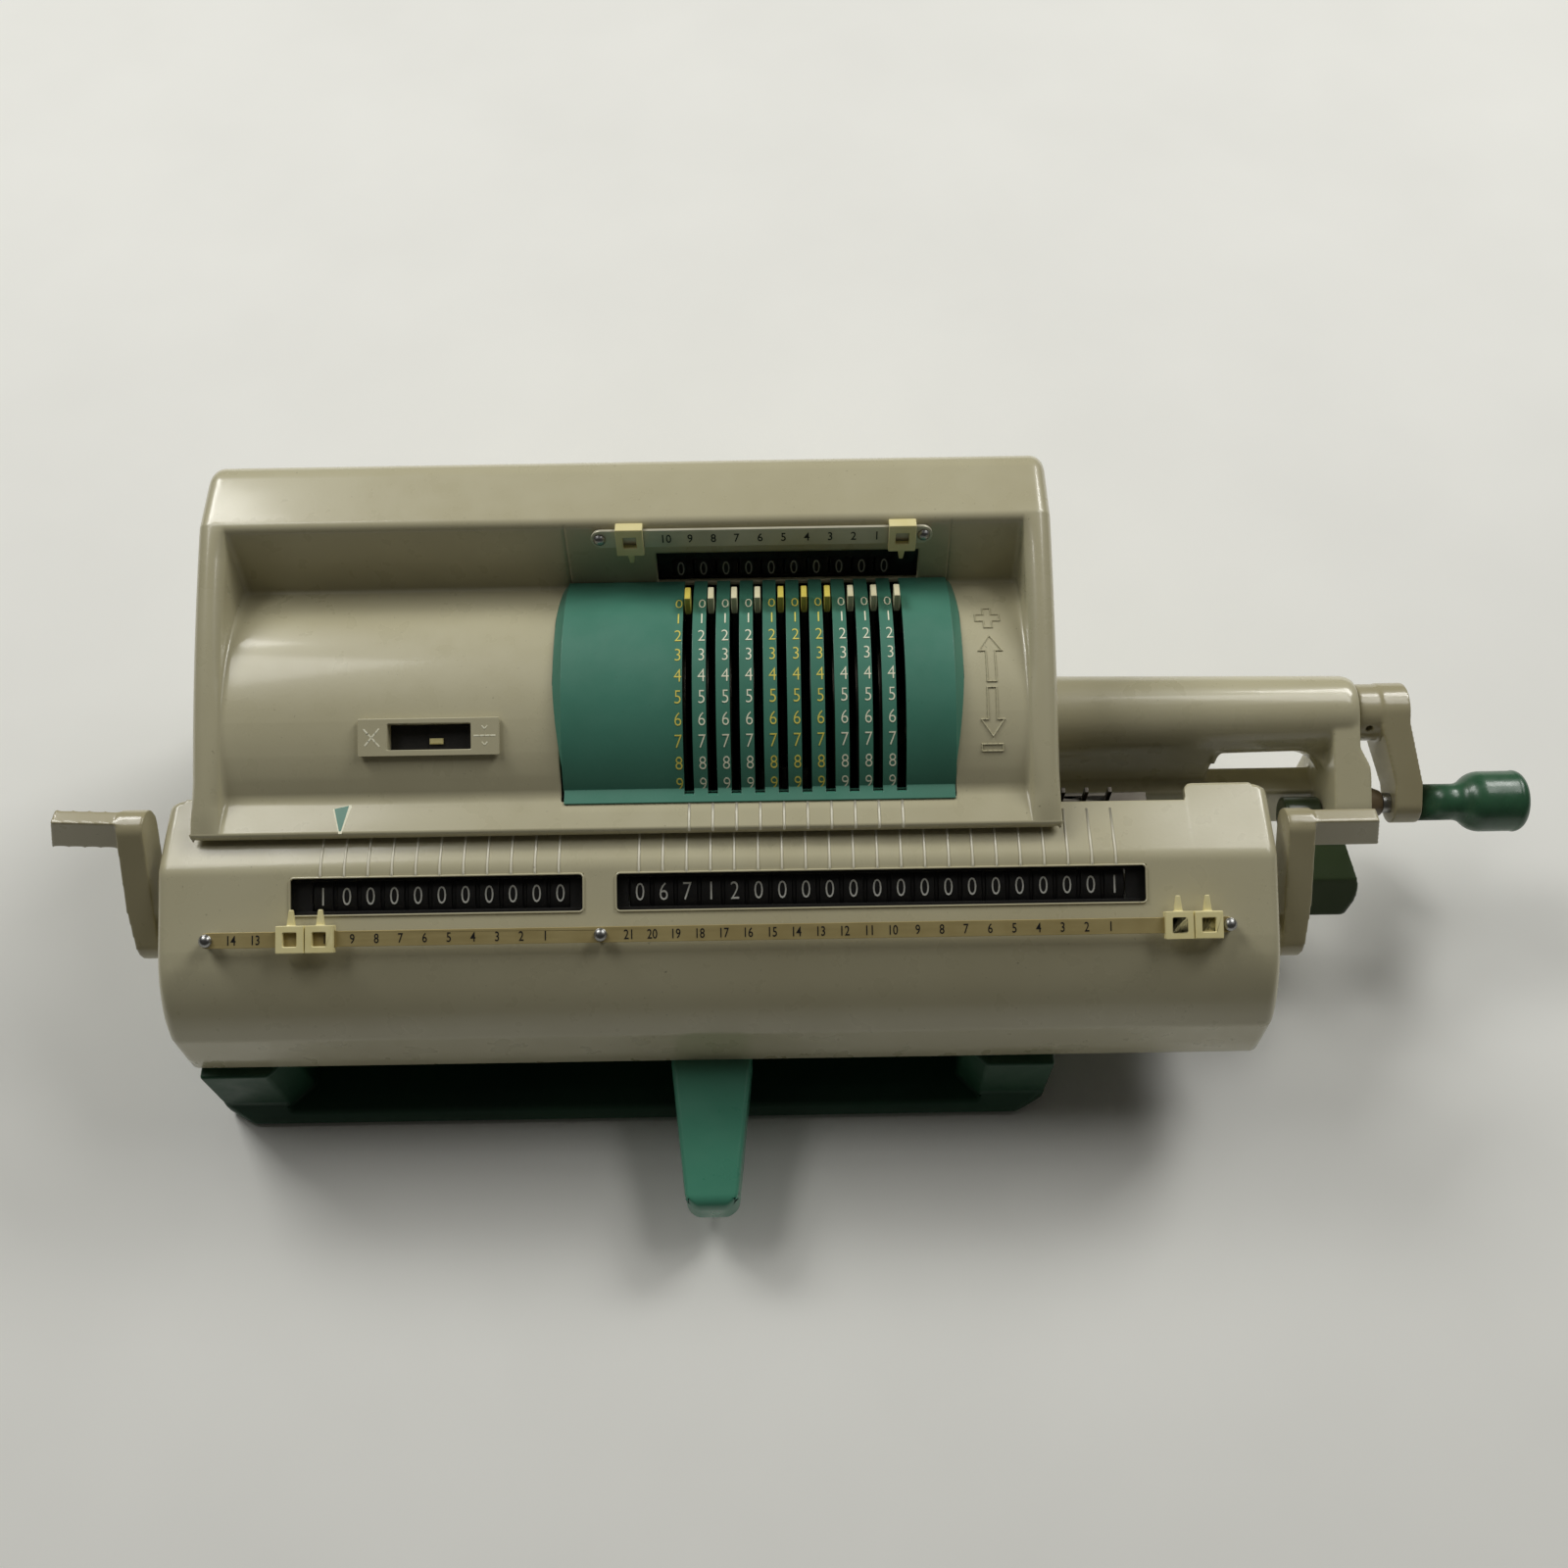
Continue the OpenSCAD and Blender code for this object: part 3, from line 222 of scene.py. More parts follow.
class Mat:
    """A Principled material with its nodes within reach."""

    def __init__(self, name, colour, rough=0.4, metallic=0.0, coat=0.0, alpha=1.0):
        self.m = bpy.data.materials.new(name)
        self.m.use_nodes = True
        self.nodes, self.links = self.m.node_tree.nodes, self.m.node_tree.links
        self.b = self.nodes["Principled BSDF"]
        self.b.inputs["Base Color"].default_value = (*colour, 1)
        self.b.inputs["Roughness"].default_value = rough
        self.b.inputs["Metallic"].default_value = metallic
        self.b.inputs["Coat Weight"].default_value = coat
        self.b.inputs["Coat Roughness"].default_value = 0.12
        self.b.inputs["Alpha"].default_value = alpha
        self.co = self.nodes.new("ShaderNodeTexCoord").outputs["Object"]

    def noise(self, per_mm, detail, stretch=None):
        n = self.nodes.new("ShaderNodeTexNoise")
        n.inputs["Scale"].default_value = per_mm / MM
        n.inputs["Detail"].default_value = detail
        co = self.co
        if stretch:
            mapping = self.nodes.new("ShaderNodeMapping")
            mapping.inputs["Scale"].default_value = stretch
            self.links.new(co, mapping.inputs["Vector"])
            co = mapping.outputs["Vector"]
        self.links.new(co, n.inputs["Vector"])
        return n.outputs["Fac"]

    def ramp(self, fac, low, high, a=0.0, b=1.0):
        r = self.nodes.new("ShaderNodeMapRange")
        for key, value in (("From Min", low), ("From Max", high), ("To Min", a), ("To Max", b)):
            r.inputs[key].default_value = value
        self.links.new(fac, r.inputs["Value"])
        return r.outputs["Result"]

    def mix(self, fac, a, b):
        m = self.nodes.new("ShaderNodeMix")
        m.data_type = "RGBA"
        self.links.new(fac, m.inputs["Factor"])
        for value, socket in ((a, m.inputs["A"]), (b, m.inputs["B"])):
            if isinstance(value, tuple):
                socket.default_value = (*value, 1)
            else:
                self.links.new(value, socket)
        return m.outputs["Result"]

    def multiply(self, a, b):
        m = self.nodes.new("ShaderNodeMath")
        m.operation = "MULTIPLY"
        self.links.new(a, m.inputs[0])
        self.links.new(b, m.inputs[1])
        return m.outputs[0]

    def bump(self, fac, height_mm):
        n = self.nodes.new("ShaderNodeBump")
        n.inputs["Distance"].default_value = height_mm * MM
        n.inputs["Strength"].default_value = 1.0
        self.links.new(fac, n.inputs["Height"])
        self.links.new(n.outputs["Normal"], self.b.inputs["Normal"])

    def colour(self, out):
        self.links.new(out, self.b.inputs["Base Color"])

    def rough(self, out):
        self.links.new(out, self.b.inputs["Roughness"])


def enamel(name, colour, dark, coat, rough=(0.26, 0.40), specks=(90, 84, 66)):
    """Stoved enamel: cloudy tone, fine orange peel, a few dirt specks and hazy gloss."""
    m = Mat(name, lin(*colour), coat=coat)
    clouds = m.ramp(m.noise(0.02, 4), 0.35, 0.75)
    base = m.mix(clouds, lin(*colour), lin(*dark))
    fine = m.ramp(m.noise(0.9, 6), 0.68, 0.80)
    patch = m.ramp(m.noise(0.05, 2), 0.45, 0.65)
    m.colour(m.mix(m.multiply(fine, patch), base, lin(*specks)))
    m.rough(m.ramp(m.noise(0.12, 4), 0.3, 0.7, *rough))
    m.bump(m.noise(0.8, 2), 0.015)
    return m.m


def plastic(name, colour, dark, rough=(0.3, 0.45)):
    """Moulded plastic with a faint mottle."""
    m = Mat(name, lin(*colour), coat=0.15)
    m.colour(m.mix(m.ramp(m.noise(0.12, 4), 0.3, 0.7), lin(*colour), lin(*dark)))
    m.rough(m.ramp(m.noise(0.3, 4), 0.3, 0.7, *rough))
    m.bump(m.noise(1.5, 3), 0.01)
    return m.m


def metal(name, colour, dark, rough=(0.28, 0.45), metallic=1.0):
    """Metal brushed along X."""
    brushed = (0.06, 1, 1)
    m = Mat(name, lin(*colour), metallic=metallic)
    m.colour(m.mix(m.ramp(m.noise(0.08, 4), 0.3, 0.7), lin(*colour), lin(*dark)))
    m.rough(m.ramp(m.noise(1.2, 3, brushed), 0.3, 0.7, *rough))
    m.bump(m.noise(2.0, 3, brushed), 0.008)
    return m.m


def paint(name, colour, dark):
    """Dull paint or printing ink."""
    m = Mat(name, lin(*colour), rough=0.55)
    m.colour(m.mix(m.ramp(m.noise(1.2, 3), 0.35, 0.7), lin(*colour), lin(*dark)))
    m.bump(m.noise(2.5, 2), 0.01)
    return m.m


def rubber(name, colour, dark):
    m = Mat(name, lin(*colour), rough=0.8)
    m.colour(m.mix(m.ramp(m.noise(0.4, 4), 0.3, 0.7), lin(*colour), lin(*dark)))
    m.bump(m.noise(1.6, 5), 0.05)
    return m.m


def lever_finish(name, colour, dark):
    """Light tab, and the plate below it painted near black where it goes down into the slot: painted shade.
    The colour changes at a distance from the shaft.
    """
    m = Mat(name, lin(*colour), coat=0.1)
    offset = m.nodes.new("ShaderNodeMapping")
    offset.inputs["Location"].default_value = (0, -SHAFT[0] * MM - MIDDLE.y, -SHAFT[1] * MM)
    offset.inputs["Scale"].default_value = (0, 1, 1)
    m.links.new(m.co, offset.inputs["Vector"])
    reach = m.nodes.new("ShaderNodeVectorMath")
    reach.operation = "LENGTH"
    m.links.new(offset.outputs["Vector"], reach.inputs[0])
    tab = m.ramp(reach.outputs["Value"], 0.0472, 0.0476)
    tone = m.mix(m.ramp(m.noise(0.3, 4), 0.3, 0.7), lin(*colour), lin(*dark))
    # Near black below the tab: painted shade inside the slot.
    m.colour(m.mix(tab, lin(24, 22, 18), tone))
    m.rough(m.ramp(m.noise(0.5, 3), 0.3, 0.7, 0.3, 0.45))
    m.bump(m.noise(1.5, 3), 0.01)
    return m.m


def window_glass():
    m = Mat("window_pane", lin(20, 20, 20), rough=0.06, alpha=0.10)
    m.b.inputs["IOR"].default_value = 1.45
    m.rough(m.ramp(m.noise(0.1, 3), 0.3, 0.7, 0.04, 0.12))
    return m.m


BEIGE = enamel("beige_enamel", (195, 189, 158), (187, 180, 148), 0.5, rough=(0.24, 0.38))
# A darker copy of the beige enamel for the crank arm and the clearing levers: painted shade.
SHADED_BEIGE = enamel("shaded_beige_enamel", (170, 162, 130), (160, 151, 118), 0.5)
DIAL = enamel("dial_enamel", (76, 136, 116), (66, 122, 102), 0.2, rough=(0.34, 0.46), specks=(60, 90, 78))
HANDLE = enamel("handle_enamel", (80, 150, 124), (68, 134, 110), 0.3, specks=(30, 52, 42))
BASE = enamel("base_enamel", (22, 72, 46), (16, 58, 38), 0.05, rough=(0.45, 0.6), specks=(14, 36, 28))
PADDLE = enamel("paddle_enamel", (58, 72, 44), (46, 58, 36), 0.3, specks=(30, 34, 22))
# A lighter beige for the raised ribs: a painted highlight on the same enamel.
PAINTED_HIGHLIGHT_BEIGE = enamel("rib_painted_highlight", (236, 232, 212), (228, 223, 200), 0.2)
KNOB = plastic("knob_plastic", (56, 98, 70), (44, 82, 58), rough=(0.25, 0.4))
CREAM = plastic("cream_plastic", (242, 232, 178), (232, 220, 158))
# The lock boss in a dark brown-beige: its darkness is painted shade.
BOSS = plastic("boss_shaded_brown", (112, 96, 70), (86, 72, 52))
LEVER_CREAM = lever_finish("lever_cream", (236, 230, 196), (222, 214, 174))
LEVER_YELLOW = lever_finish("lever_yellow", (226, 210, 100), (210, 192, 84))
STEEL = metal("steel", (176, 176, 174), (150, 150, 148))
DARK_STEEL = metal("dark_steel", (96, 92, 84), (70, 66, 60))
BRASS = metal("brass", (176, 150, 96), (150, 124, 74))
STRIP = metal("strip_metal", (186, 170, 118), (172, 154, 102), rough=(0.4, 0.55), metallic=0.4)
SCALE = metal("scale_metal", (206, 202, 180), (190, 186, 164), rough=(0.4, 0.55), metallic=0.35)
BLACK = paint("wheel_black", (18, 17, 16), (28, 26, 24))
INK = paint("ink", (10, 9, 8), (20, 18, 16))
DIGIT_INK = paint("digit_grey", (246, 246, 238), (232, 232, 222))
CREAM_INK = paint("cream_ink", (252, 250, 226), (240, 236, 206))
YELLOW_INK = paint("yellow_ink", (240, 226, 104), (226, 210, 92))
RUBBER = rubber("rubber_black", (26, 25, 24), (38, 36, 34))
GLASS = window_glass()


# Meshes


def add_mesh(name, verts, faces, mat, body, smooth=False, metres=False):
    mesh = bpy.data.meshes.new(name)
    scale = 1.0 if metres else MM
    mesh.from_pydata([Vector(v) * scale + MIDDLE for v in verts], [], faces)
    mesh.materials.append(mat)
    mesh.validate()
    if smooth:
        mesh.polygons.foreach_set("use_smooth", [True] * len(mesh.polygons))
    obj = bpy.data.objects.new(name, mesh)
    bpy.context.scene.collection.objects.link(obj)
    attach(obj, body)
    return obj


class Heap:
    """Many small closed shapes gathered into one mesh, in metres."""

    def __init__(self):
        self.verts, self.faces = [], []

    def add(self, verts, faces, matrix):
        base = len(self.verts)
        self.verts += [tuple(matrix @ Vector(v)) for v in verts]
        self.faces += [tuple(base + i for i in f) for f in faces]

    def put(self, name, mat, body, smooth=False):
        add_mesh(name, self.verts, self.faces, mat, body, smooth, metres=True)


GLYPHS = {}


def glyph(text, height, depth, thin, narrow):
    """A flat-topped letter form of this height, its middle at the origin, from z 0 to its depth."""
    key = (text, height, depth, thin, narrow)
    if key in GLYPHS:
        return GLYPHS[key]
    curve = bpy.data.curves.new("glyph", "FONT")
    curve.body = text
    curve.align_x = "CENTER"
    curve.resolution_u = 3
    curve.offset = -thin
    curve.extrude = 0.1
    obj = bpy.data.objects.new("glyph", curve)
    bpy.context.scene.collection.objects.link(obj)
    bpy.context.view_layer.update()
    mesh = obj.evaluated_get(bpy.context.evaluated_depsgraph_get()).to_mesh()
    verts = [v.co.copy() for v in mesh.vertices]
    faces = [tuple(p.vertices) for p in mesh.polygons]
    obj.to_mesh_clear()
    bpy.data.objects.remove(obj)
    bpy.data.curves.remove(curve)
    low, high = min(v.y for v in verts), max(v.y for v in verts)
    left, right = min(v.x for v in verts), max(v.x for v in verts)
    k = height / (high - low)
    out = [
        ((v.x - (left + right) / 2) * k * narrow, (v.y - (low + high) / 2) * k, depth if v.z > 0 else 0.0)
        for v in verts
    ]
    GLYPHS[key] = (out, faces)
    return GLYPHS[key]


def slab(w, h, z0, z1, cut):
    """A block with its middle at the origin in x and y, and a chamfer round its top."""
    verts = []
    for z, inset in ((z0, 0.0), (z1 - cut, 0.0), (z1, cut)):
        for sx, sy in ((-1, -1), (1, -1), (1, 1), (-1, 1)):
            verts.append((sx * (w / 2 - inset), sy * (h / 2 - inset), z))
    faces = [(3, 2, 1, 0), (8, 9, 10, 11)]
    for ring in (0, 4):
        for i in range(4):
            j = (i + 1) % 4
            faces.append((ring + i, ring + j, ring + 4 + j, ring + 4 + i))
    return verts, faces


def sweep(path, half_width, height):
    """A rib along x = 0: path holds (y, z, ny, nz), the section is half round and lower at both ends."""
    steps = 6
    verts, faces = [], []
    for i, (y, z, ny, nz) in enumerate(path):
        shrink = 0.35 if i in (0, len(path) - 1) else 1.0
        for k in range(steps + 1):
            c, s = unit(180 * k / steps)
            verts.append((half_width * c, y + ny * height * shrink * s, z + nz * height * shrink * s))
    n = steps + 1
    for i in range(len(path) - 1):
        for k in range(n):
            j = (k + 1) % n
            faces.append((i * n + k, i * n + j, (i + 1) * n + j, (i + 1) * n + k))
    faces.append(tuple(range(n)))
    faces.append(tuple(reversed(range((len(path) - 1) * n, len(path) * n))))
    return verts, faces


def rounded_rect(w, h, r):
    steps = 5
    x, y = w / 2 - r, h / 2 - r
    points = []
    for cx, cy, a in ((x, y, 0), (-x, y, 90), (-x, -y, 180), (x, -y, 270)):
        for k in range(steps + 1):
            c, s = unit(a + 90 * k / steps)
            points.append((cx + r * c, cy + r * s))
    return points


def ring_frame(w, h, r, border, profile):
    """A frame round an opening: profile lists (share of the border outwards, height)."""
    verts, faces = [], []
    for share, z in profile:
        grow = border * share
        loop = rounded_rect(w + 2 * grow, h + 2 * grow, r + grow)
        verts += [(x, y, z) for x, y in loop]
    n = len(loop)
    for a in range(len(profile)):
        b = (a + 1) % len(profile)
        for k in range(n):
            j = (k + 1) % n
            faces.append((a * n + k, b * n + k, b * n + j, a * n + j))
    return verts, faces


def lathe(points, segments):
    """A solid of revolution about local z; points are (radius, z) from the bottom up, closed by discs."""
    verts, faces = [], []
    for r, z in points:
        for k in range(segments):
            c, s = unit(360 * k / segments)
            verts.append((r * c, r * s, z))
    for i in range(len(points) - 1):
        for k in range(segments):
            j = (k + 1) % segments
            faces.append((i * segments + k, i * segments + j, (i + 1) * segments + j, (i + 1) * segments + k))
    faces.append(tuple(reversed(range(segments))))
    faces.append(tuple(range((len(points) - 1) * segments, len(points) * segments)))
    return verts, faces


def even_shade(obj):
    """Shading that leans on the large faces."""
    shade = obj.modifiers.new("shade", "WEIGHTED_NORMAL")
    shade.keep_sharp = False
    shade.weight = 60


# Profiles, as points (y, z) with the skin on their left when the line runs to the back


def toward(p, q, d):
    """The point at this distance from p on the way to q."""
    return p[0] + (q[0] - p[0]) * d / dist(p, q), p[1] + (q[1] - p[1]) * d / dist(p, q)


def rounded(points, radii, steps):
    """The line of points with its corners rounded."""
    out = [points[0]]
    for i in range(1, len(points) - 1):
        a, b, c = points[i - 1], points[i], points[i + 1]
        r = radii.get(i, 0)
        if not r:
            out.append(b)
            continue
        la, lc = dist(a, b), dist(b, c)
        u = ((a[0] - b[0]) / la, (a[1] - b[1]) / la)
        v = ((c[0] - b[0]) / lc, (c[1] - b[1]) / lc)
        half = math.acos(max(-1, min(1, u[0] * v[0] + u[1] * v[1]))) / 2
        run = r / math.tan(half)
        m = (u[0] + v[0], u[1] + v[1])
        k = r / math.sin(half) / math.hypot(*m)
        mid = (b[0] + m[0] * k, b[1] + m[1] * k)
        start = (b[0] + u[0] * run - mid[0], b[1] + u[1] * run - mid[1])
        end = (b[0] + v[0] * run - mid[0], b[1] + v[1] * run - mid[1])
        a0 = math.atan2(start[1], start[0])
        turn = math.atan2(start[0] * end[1] - start[1] * end[0], start[0] * end[0] + start[1] * end[1])
        for k in range(steps + 1):
            a = a0 + turn * k / steps
            out.append((mid[0] + r * math.cos(a), mid[1] + r * math.sin(a)))
    return out + [points[-1]]


def along(points, share):
    """The point at this share of the line's length."""
    total = sum(dist(points[i], points[i + 1]) for i in range(len(points) - 1))
    left = share * total
    for i in range(len(points) - 1):
        step = dist(points[i], points[i + 1])
        if left <= step or i == len(points) - 2:
            k = min(1.0, left / step)
            return (
                points[i][0] + (points[i + 1][0] - points[i][0]) * k,
                points[i][1] + (points[i + 1][1] - points[i][1]) * k,
            )
        left -= step


def inward(points):
    """Unit vectors square to the line, to its right."""
    out = []
    for i in range(len(points)):
        a, b = points[max(i - 1, 0)], points[min(i + 1, len(points) - 1)]
        d = dist(a, b)
        out.append(((b[1] - a[1]) / d, -(b[0] - a[0]) / d))
    return out


def between(line, rim, height):
    """The line lifted towards the rim by height(depth), wherever the rim stands over it."""
    out = []
    for p, q in zip(rim, line):
        deep = dist(p, q)
        if deep < 1e-6:
            out.append(p)
        else:
            h = height(deep)
            out.append((q[0] + (p[0] - q[0]) * h / deep, q[1] + (p[1] - q[1]) * h / deep))
    return out


def grid_skin(name, columns, mat, body, holes):
    """A sheet through columns of (x, points); holes are (x0, x1, i0, i1) in x and in point numbers."""
    n = len(columns[0][1])
    verts = [(x, y, z) for x, points in columns for y, z in points]
    faces = []
    for c in range(len(columns) - 1):
        mid = (columns[c][0] + columns[c + 1][0]) / 2
        for i in range(n - 1):
            if not any(x0 < mid < x1 and i0 <= i < i1 for x0, x1, i0, i1 in holes):
                faces.append((c * n + i, (c + 1) * n + i, (c + 1) * n + i + 1, c * n + i + 1))
    faces.append(tuple(range(n)))
    faces.append(tuple(reversed(range((len(columns) - 1) * n, len(columns) * n))))
    obj = add_mesh(name, verts, faces, mat, body, smooth=True)
    bm = bmesh.new()
    bm.from_mesh(obj.data)
    loose = [v for v in bm.verts if not v.link_faces]
    bmesh.ops.delete(bm, geom=loose, context="VERTS")
    bm.to_mesh(obj.data)
    bm.free()
    solid = obj.modifiers.new("sheet", "SOLIDIFY")
    solid.thickness = SHEET * MM
    solid.offset = -1
    even_shade(obj)
    return obj


# The hood


def hood_line():
    """The line through the recess, from the front's foot to the back's, and the numbers of some points."""
    first, last = recess_lean(RECESS_FOOT), recess_lean(WALL_FOOT)
    low, high = SIGN_SEAT
    # Rows round the arc, closer together at its foot and beside the sign window
    leans = [first + step for step in (7.2, 9.4, 11.6)]
    leans += [low - 0.5, low, low + 2.3, low + 4.6, low + 7.0, high]
    leans += [high + 0.5 + (last - 2.5 - high) * k / 24 for k in range(25)]
    arc = [recess_at(lean) for lean in leans]
    wall = [toward(WALL_FOOT, WALL_TOP, up) for up in WALL_ROWS]
    corners = [(HOOD_FRONT, BASE_TOP), (HOOD_FRONT, LIP_Z), (LIP[0], LIP_Z), LIP, RECESS_FOOT]
    front = rounded(corners, {1: 1.5, 2: 0.7, 3: 1.1}, 4)[:-1]
    front.insert(FRONT_ROWS, (RECESS_FOOT[0], LIP_Z))
    foot = rounded([toward(RECESS_FOOT, LIP, 6.0), RECESS_FOOT, recess_at(first + 5.5)], {1: 5.5}, 6)
    heel = rounded([arc[-1], WALL_FOOT, wall[0]], {1: 1.1}, 5)[1:-1]
    top_edge = rounded([wall[-1], WALL_TOP, RIM_END], {1: 3.0}, 6)
    line = front + foot + arc + heel + wall[:-1] + top_edge
    marks = {
        "lip": len(front),
        "rim_end": len(line) - 1,
        "sign": (line.index(recess_at(low)), line.index(recess_at(high))),
        "wall": (line.index(wall[0]), line.index(wall[-2])),
        "window_head": line.index(wall[WINDOW_HEAD]),
    }
    back = rounded([RIM_END, (HOOD_BACK, HOOD_TOP), (HOOD_BACK, BASE_TOP)], {1: 10.0}, 8)[1:-1]
    line += [(69.0, HOOD_TOP)] + back + [(HOOD_BACK, 90.0), (HOOD_BACK, 60.0), (HOOD_BACK, BASE_TOP)]
    return line, marks


def hood_rim(line, start, stop):
    """The line of the hood's ends, which bridges the recess in a slight bow between two points."""
    bow_end = (WALL_TOP[0] + 2, HOOD_TOP)
    mid, r = bow_circle(LIP, bow_end, 2.2)
    bow = arc_points(mid, r, bearing(mid, LIP), bearing(mid, bow_end), 40)
    bridge = [line[start]] + bow[1:] + [RIM_END]
    span = [0.0]
    for i in range(start, stop):
        span.append(span[-1] + dist(line[i], line[i + 1]))
    rim = list(line)
    for i in range(start, stop + 1):
        rim[i] = along(bridge, span[i - start] / span[-1])
    return rim


def hood_end(line, rim):
    """The rounded end as (distance in x from the end, line), from the outer edge inwards."""
    # How far each point comes in at the outer edge: little up the front, more towards the top
    ease = [0.8 if z < 90.5 and y < 0 else min(4.3, 0.9 + 0.22 * dist((y, z), LIP)) for y, z in rim]
    edge = list(zip(rim, inward(rim), ease))
    # Widths of the rim's outer half and inner half, and of the fillet at the recess's end
    crest, inside, corner = 4.4, 4.0, 1.9
    end = []
    for k in range(9):
        c, s = unit(90 * k / 8)
        outer = [(y + n[0] * e * (1 - s), z + n[1] * e * (1 - s)) for (y, z), n, e in edge]
        end.append((crest * (1 - c), outer))
    for k in range(1, 8):
        c, s = unit(90 * k / 7)
        inner = between(line, rim, lambda deep: deep - min(4.0, deep * 0.5) * (1 - c))
        end.append((crest + inside * s, inner))
    for k in range(6):
        c, s = unit(90 * k / 5)
        fillet = between(line, rim, lambda deep: min(2.2, deep * 0.4) * (1 - s))
        end.append((crest + inside + 0.2 + corner * (1 - c), fillet))
    return end + [(12.5, line)]


def hood():
    line, marks = hood_line()
    lip, (wall_foot, wall_top) = marks["lip"], marks["wall"]
    end = hood_end(line, hood_rim(line, lip - 1, marks["rim_end"]))
    grooved = list(line)
    for i in range(wall_foot - 4, wall_top + 4):
        grooved[i] = (line[i][0] + SEAM_DEPTH, line[i][1] - 0.1 * SEAM_DEPTH)
    dial_hole = (DIAL_X[0] - 0.6, DIAL_X[1])
    # Columns at each opening and just beside it, and three more where they would lie far apart
    xs = [-98.0, 40.0, 66.0, *dial_hole, DIAL_X[0] - 1.1, DIAL_X[0] + 1.2]
    for left, right in (SIGN_HOLE_X, CHECK_HOLE_X):
        xs += [left - 0.5, left, right, right + 0.5]
    columns = [(HOOD_X[0] + d, points) for d, points in end] + [(HOOD_X[1] - d, points) for d, points in end]
    columns += [(x, line) for x in xs]
    for seam in SEAMS:
        columns += [(seam - SEAM_HALF, line), (seam, grooved), (seam + SEAM_HALF, line)]
    columns.sort(key=lambda column: column[0])
    holes = [
        (HOOD_X[0] + 3.0, HOOD_X[1] - 3.0, 0, FRONT_ROWS),
        (*dial_hole, lip + 1, wall_foot - 3),
        (*CHECK_HOLE_X, wall_foot, marks["window_head"]),
        (*SIGN_HOLE_X, *marks["sign"]),
    ]
    obj = grid_skin("hood_shell", columns, BEIGE, "frame", holes)
    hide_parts("hood_cover")


# The carriage's cover


def carriage_front():
    """The cover's line from the crease to the foot of its front, and the numbers of the windows' edges."""
    c, s = unit(SLOPE)
    half = WIN_H / 2
    slot = [(WIN_AT[0] + c * k, WIN_AT[1] + s * k) for k in (half + 0.4, half, 0, -half, -half - 0.4)]
    mid, r = bow_circle(FRONT_TOP, SLOPE_END, FRONT_SAG)
    swell = arc_points(mid, r, bearing(mid, SLOPE_END) % math.tau, bearing(mid, FRONT_TOP) % math.tau, 14)
    foot = (FRONT_TOP[0] - 0.8, CAR_BOTTOM)
    line = [(-26.0, 86.76)] + rounded([(-29.0, 86.68), CREASE, slot[0]], {1: 9.0}, 6)[1:] + slot[1:]
    line += rounded([slot[-1], SLOPE_END, swell[2]], {1: 12.0}, 3)[1:-1] + swell[2:13]
    line += rounded([swell[12], FRONT_TOP, foot], {1: 7.0}, 6)[1:-1] + [(-77.1, 42.0), foot]
    return line, (line.index(slot[1]), line.index(slot[-2]))


def corner_back(d):
    """The back edge's y at this distance from the end, round the corner of the shoulder."""
    if d < CORNER_R:
        return SHOULDER_BACK - CORNER_R + math.sqrt(max(0.0, CORNER_R**2 - (CORNER_R - d) ** 2))
    return SHOULDER_BACK


def carriage_end(line):
    """The rounded end and its shoulder as (distance from the end, line), from the outer edge inwards."""
    crest, bend = 3.2, 2.5
    end = []
    for k in range(8):
        c, s = unit(90 * k / 7)
        d = crest * (1 - c)
        points = line(corner_back(d), 2.6)
        ease = [0.0] * len(BACK_ROWS) + [3.0] * (len(points) - len(BACK_ROWS) - 2) + [2.6, 2.2]
        outer = []
        for i, ((y, z), n, e) in enumerate(zip(points, inward(points[::-1])[::-1], ease)):
            dy, dz = n[0] * e * (1 - s), n[1] * e * (1 - s)
            # The back and its rounded edge come in downwards
            outer.append((y - dy, z - abs(dz)) if i < len(BACK_ROWS) + EDGE_ROWS else (y + dy, z + dz))
        end.append((d, outer))
    for d in (3.9, 4.6, 5.2, 12.0, SHOULDER_W - bend):
        end.append((d, line(corner_back(d), 2.6 if d < CORNER_R else 1.4)))
    for k in (30, 60, 80):
        c, s = unit(k)
        end.append((SHOULDER_W - bend + bend * s, line(SHOULDER_BACK - bend * (1 - c), 1.2)))
    end.append((SHOULDER_W, line(CAR_BACK + 1.5, 0.8)))
    return end + [(SHOULDER_W + 0.5, line(CAR_BACK, 0.8))]


def carriage():
    front, edges = carriage_front()

    def line(back, edge):
        """The whole line with its back at this y and this radius over it."""
        turn = [unit(22.5 * k) for k in range(EDGE_ROWS)]
        upright = [(back, z) for z in BACK_ROWS]
        return upright + [(back - edge * (1 - c), CAR_TOP - edge * (1 - s)) for c, s in turn] + front

    end = carriage_end(line)
    middle = line(CAR_BACK, 0.8)
    columns = [(CAR_X[0] + d, points) for d, points in end] + [(CAR_X[1] - d, points) for d, points in end]
    for x, w in WINDOWS:
        columns += [(x + side * (w / 2 + gap), middle) for side in (-1, 1) for gap in (0, 0.4)]
    columns += [(x, middle) for x in (-90.0, -65.0, -40.0, 35.0, 70.0, 110.0)]
    columns.sort(key=lambda column: column[0])
    behind = len(BACK_ROWS) + EDGE_ROWS
    holes = [(x - w / 2, x + w / 2, edges[0] + behind, edges[1] + behind) for x, w in WINDOWS]
    # The back is open between its corners
    holes.append((CAR_X[0] + CORNER_R, CAR_X[1] - CORNER_R, 0, len(BACK_ROWS) - 1))
    # The line is turned round, because the skin is on the left of one that runs to the back
    last = len(middle) - 1
    columns = [(x, points[::-1]) for x, points in columns]
    holes = [(x0, x1, last - i1, last - i0) for x0, x1, i0, i1 in holes]
    obj = grid_skin("carriage_shell", columns, BEIGE, "carriage", holes)
    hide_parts("carriage_cover")


# Small pieces


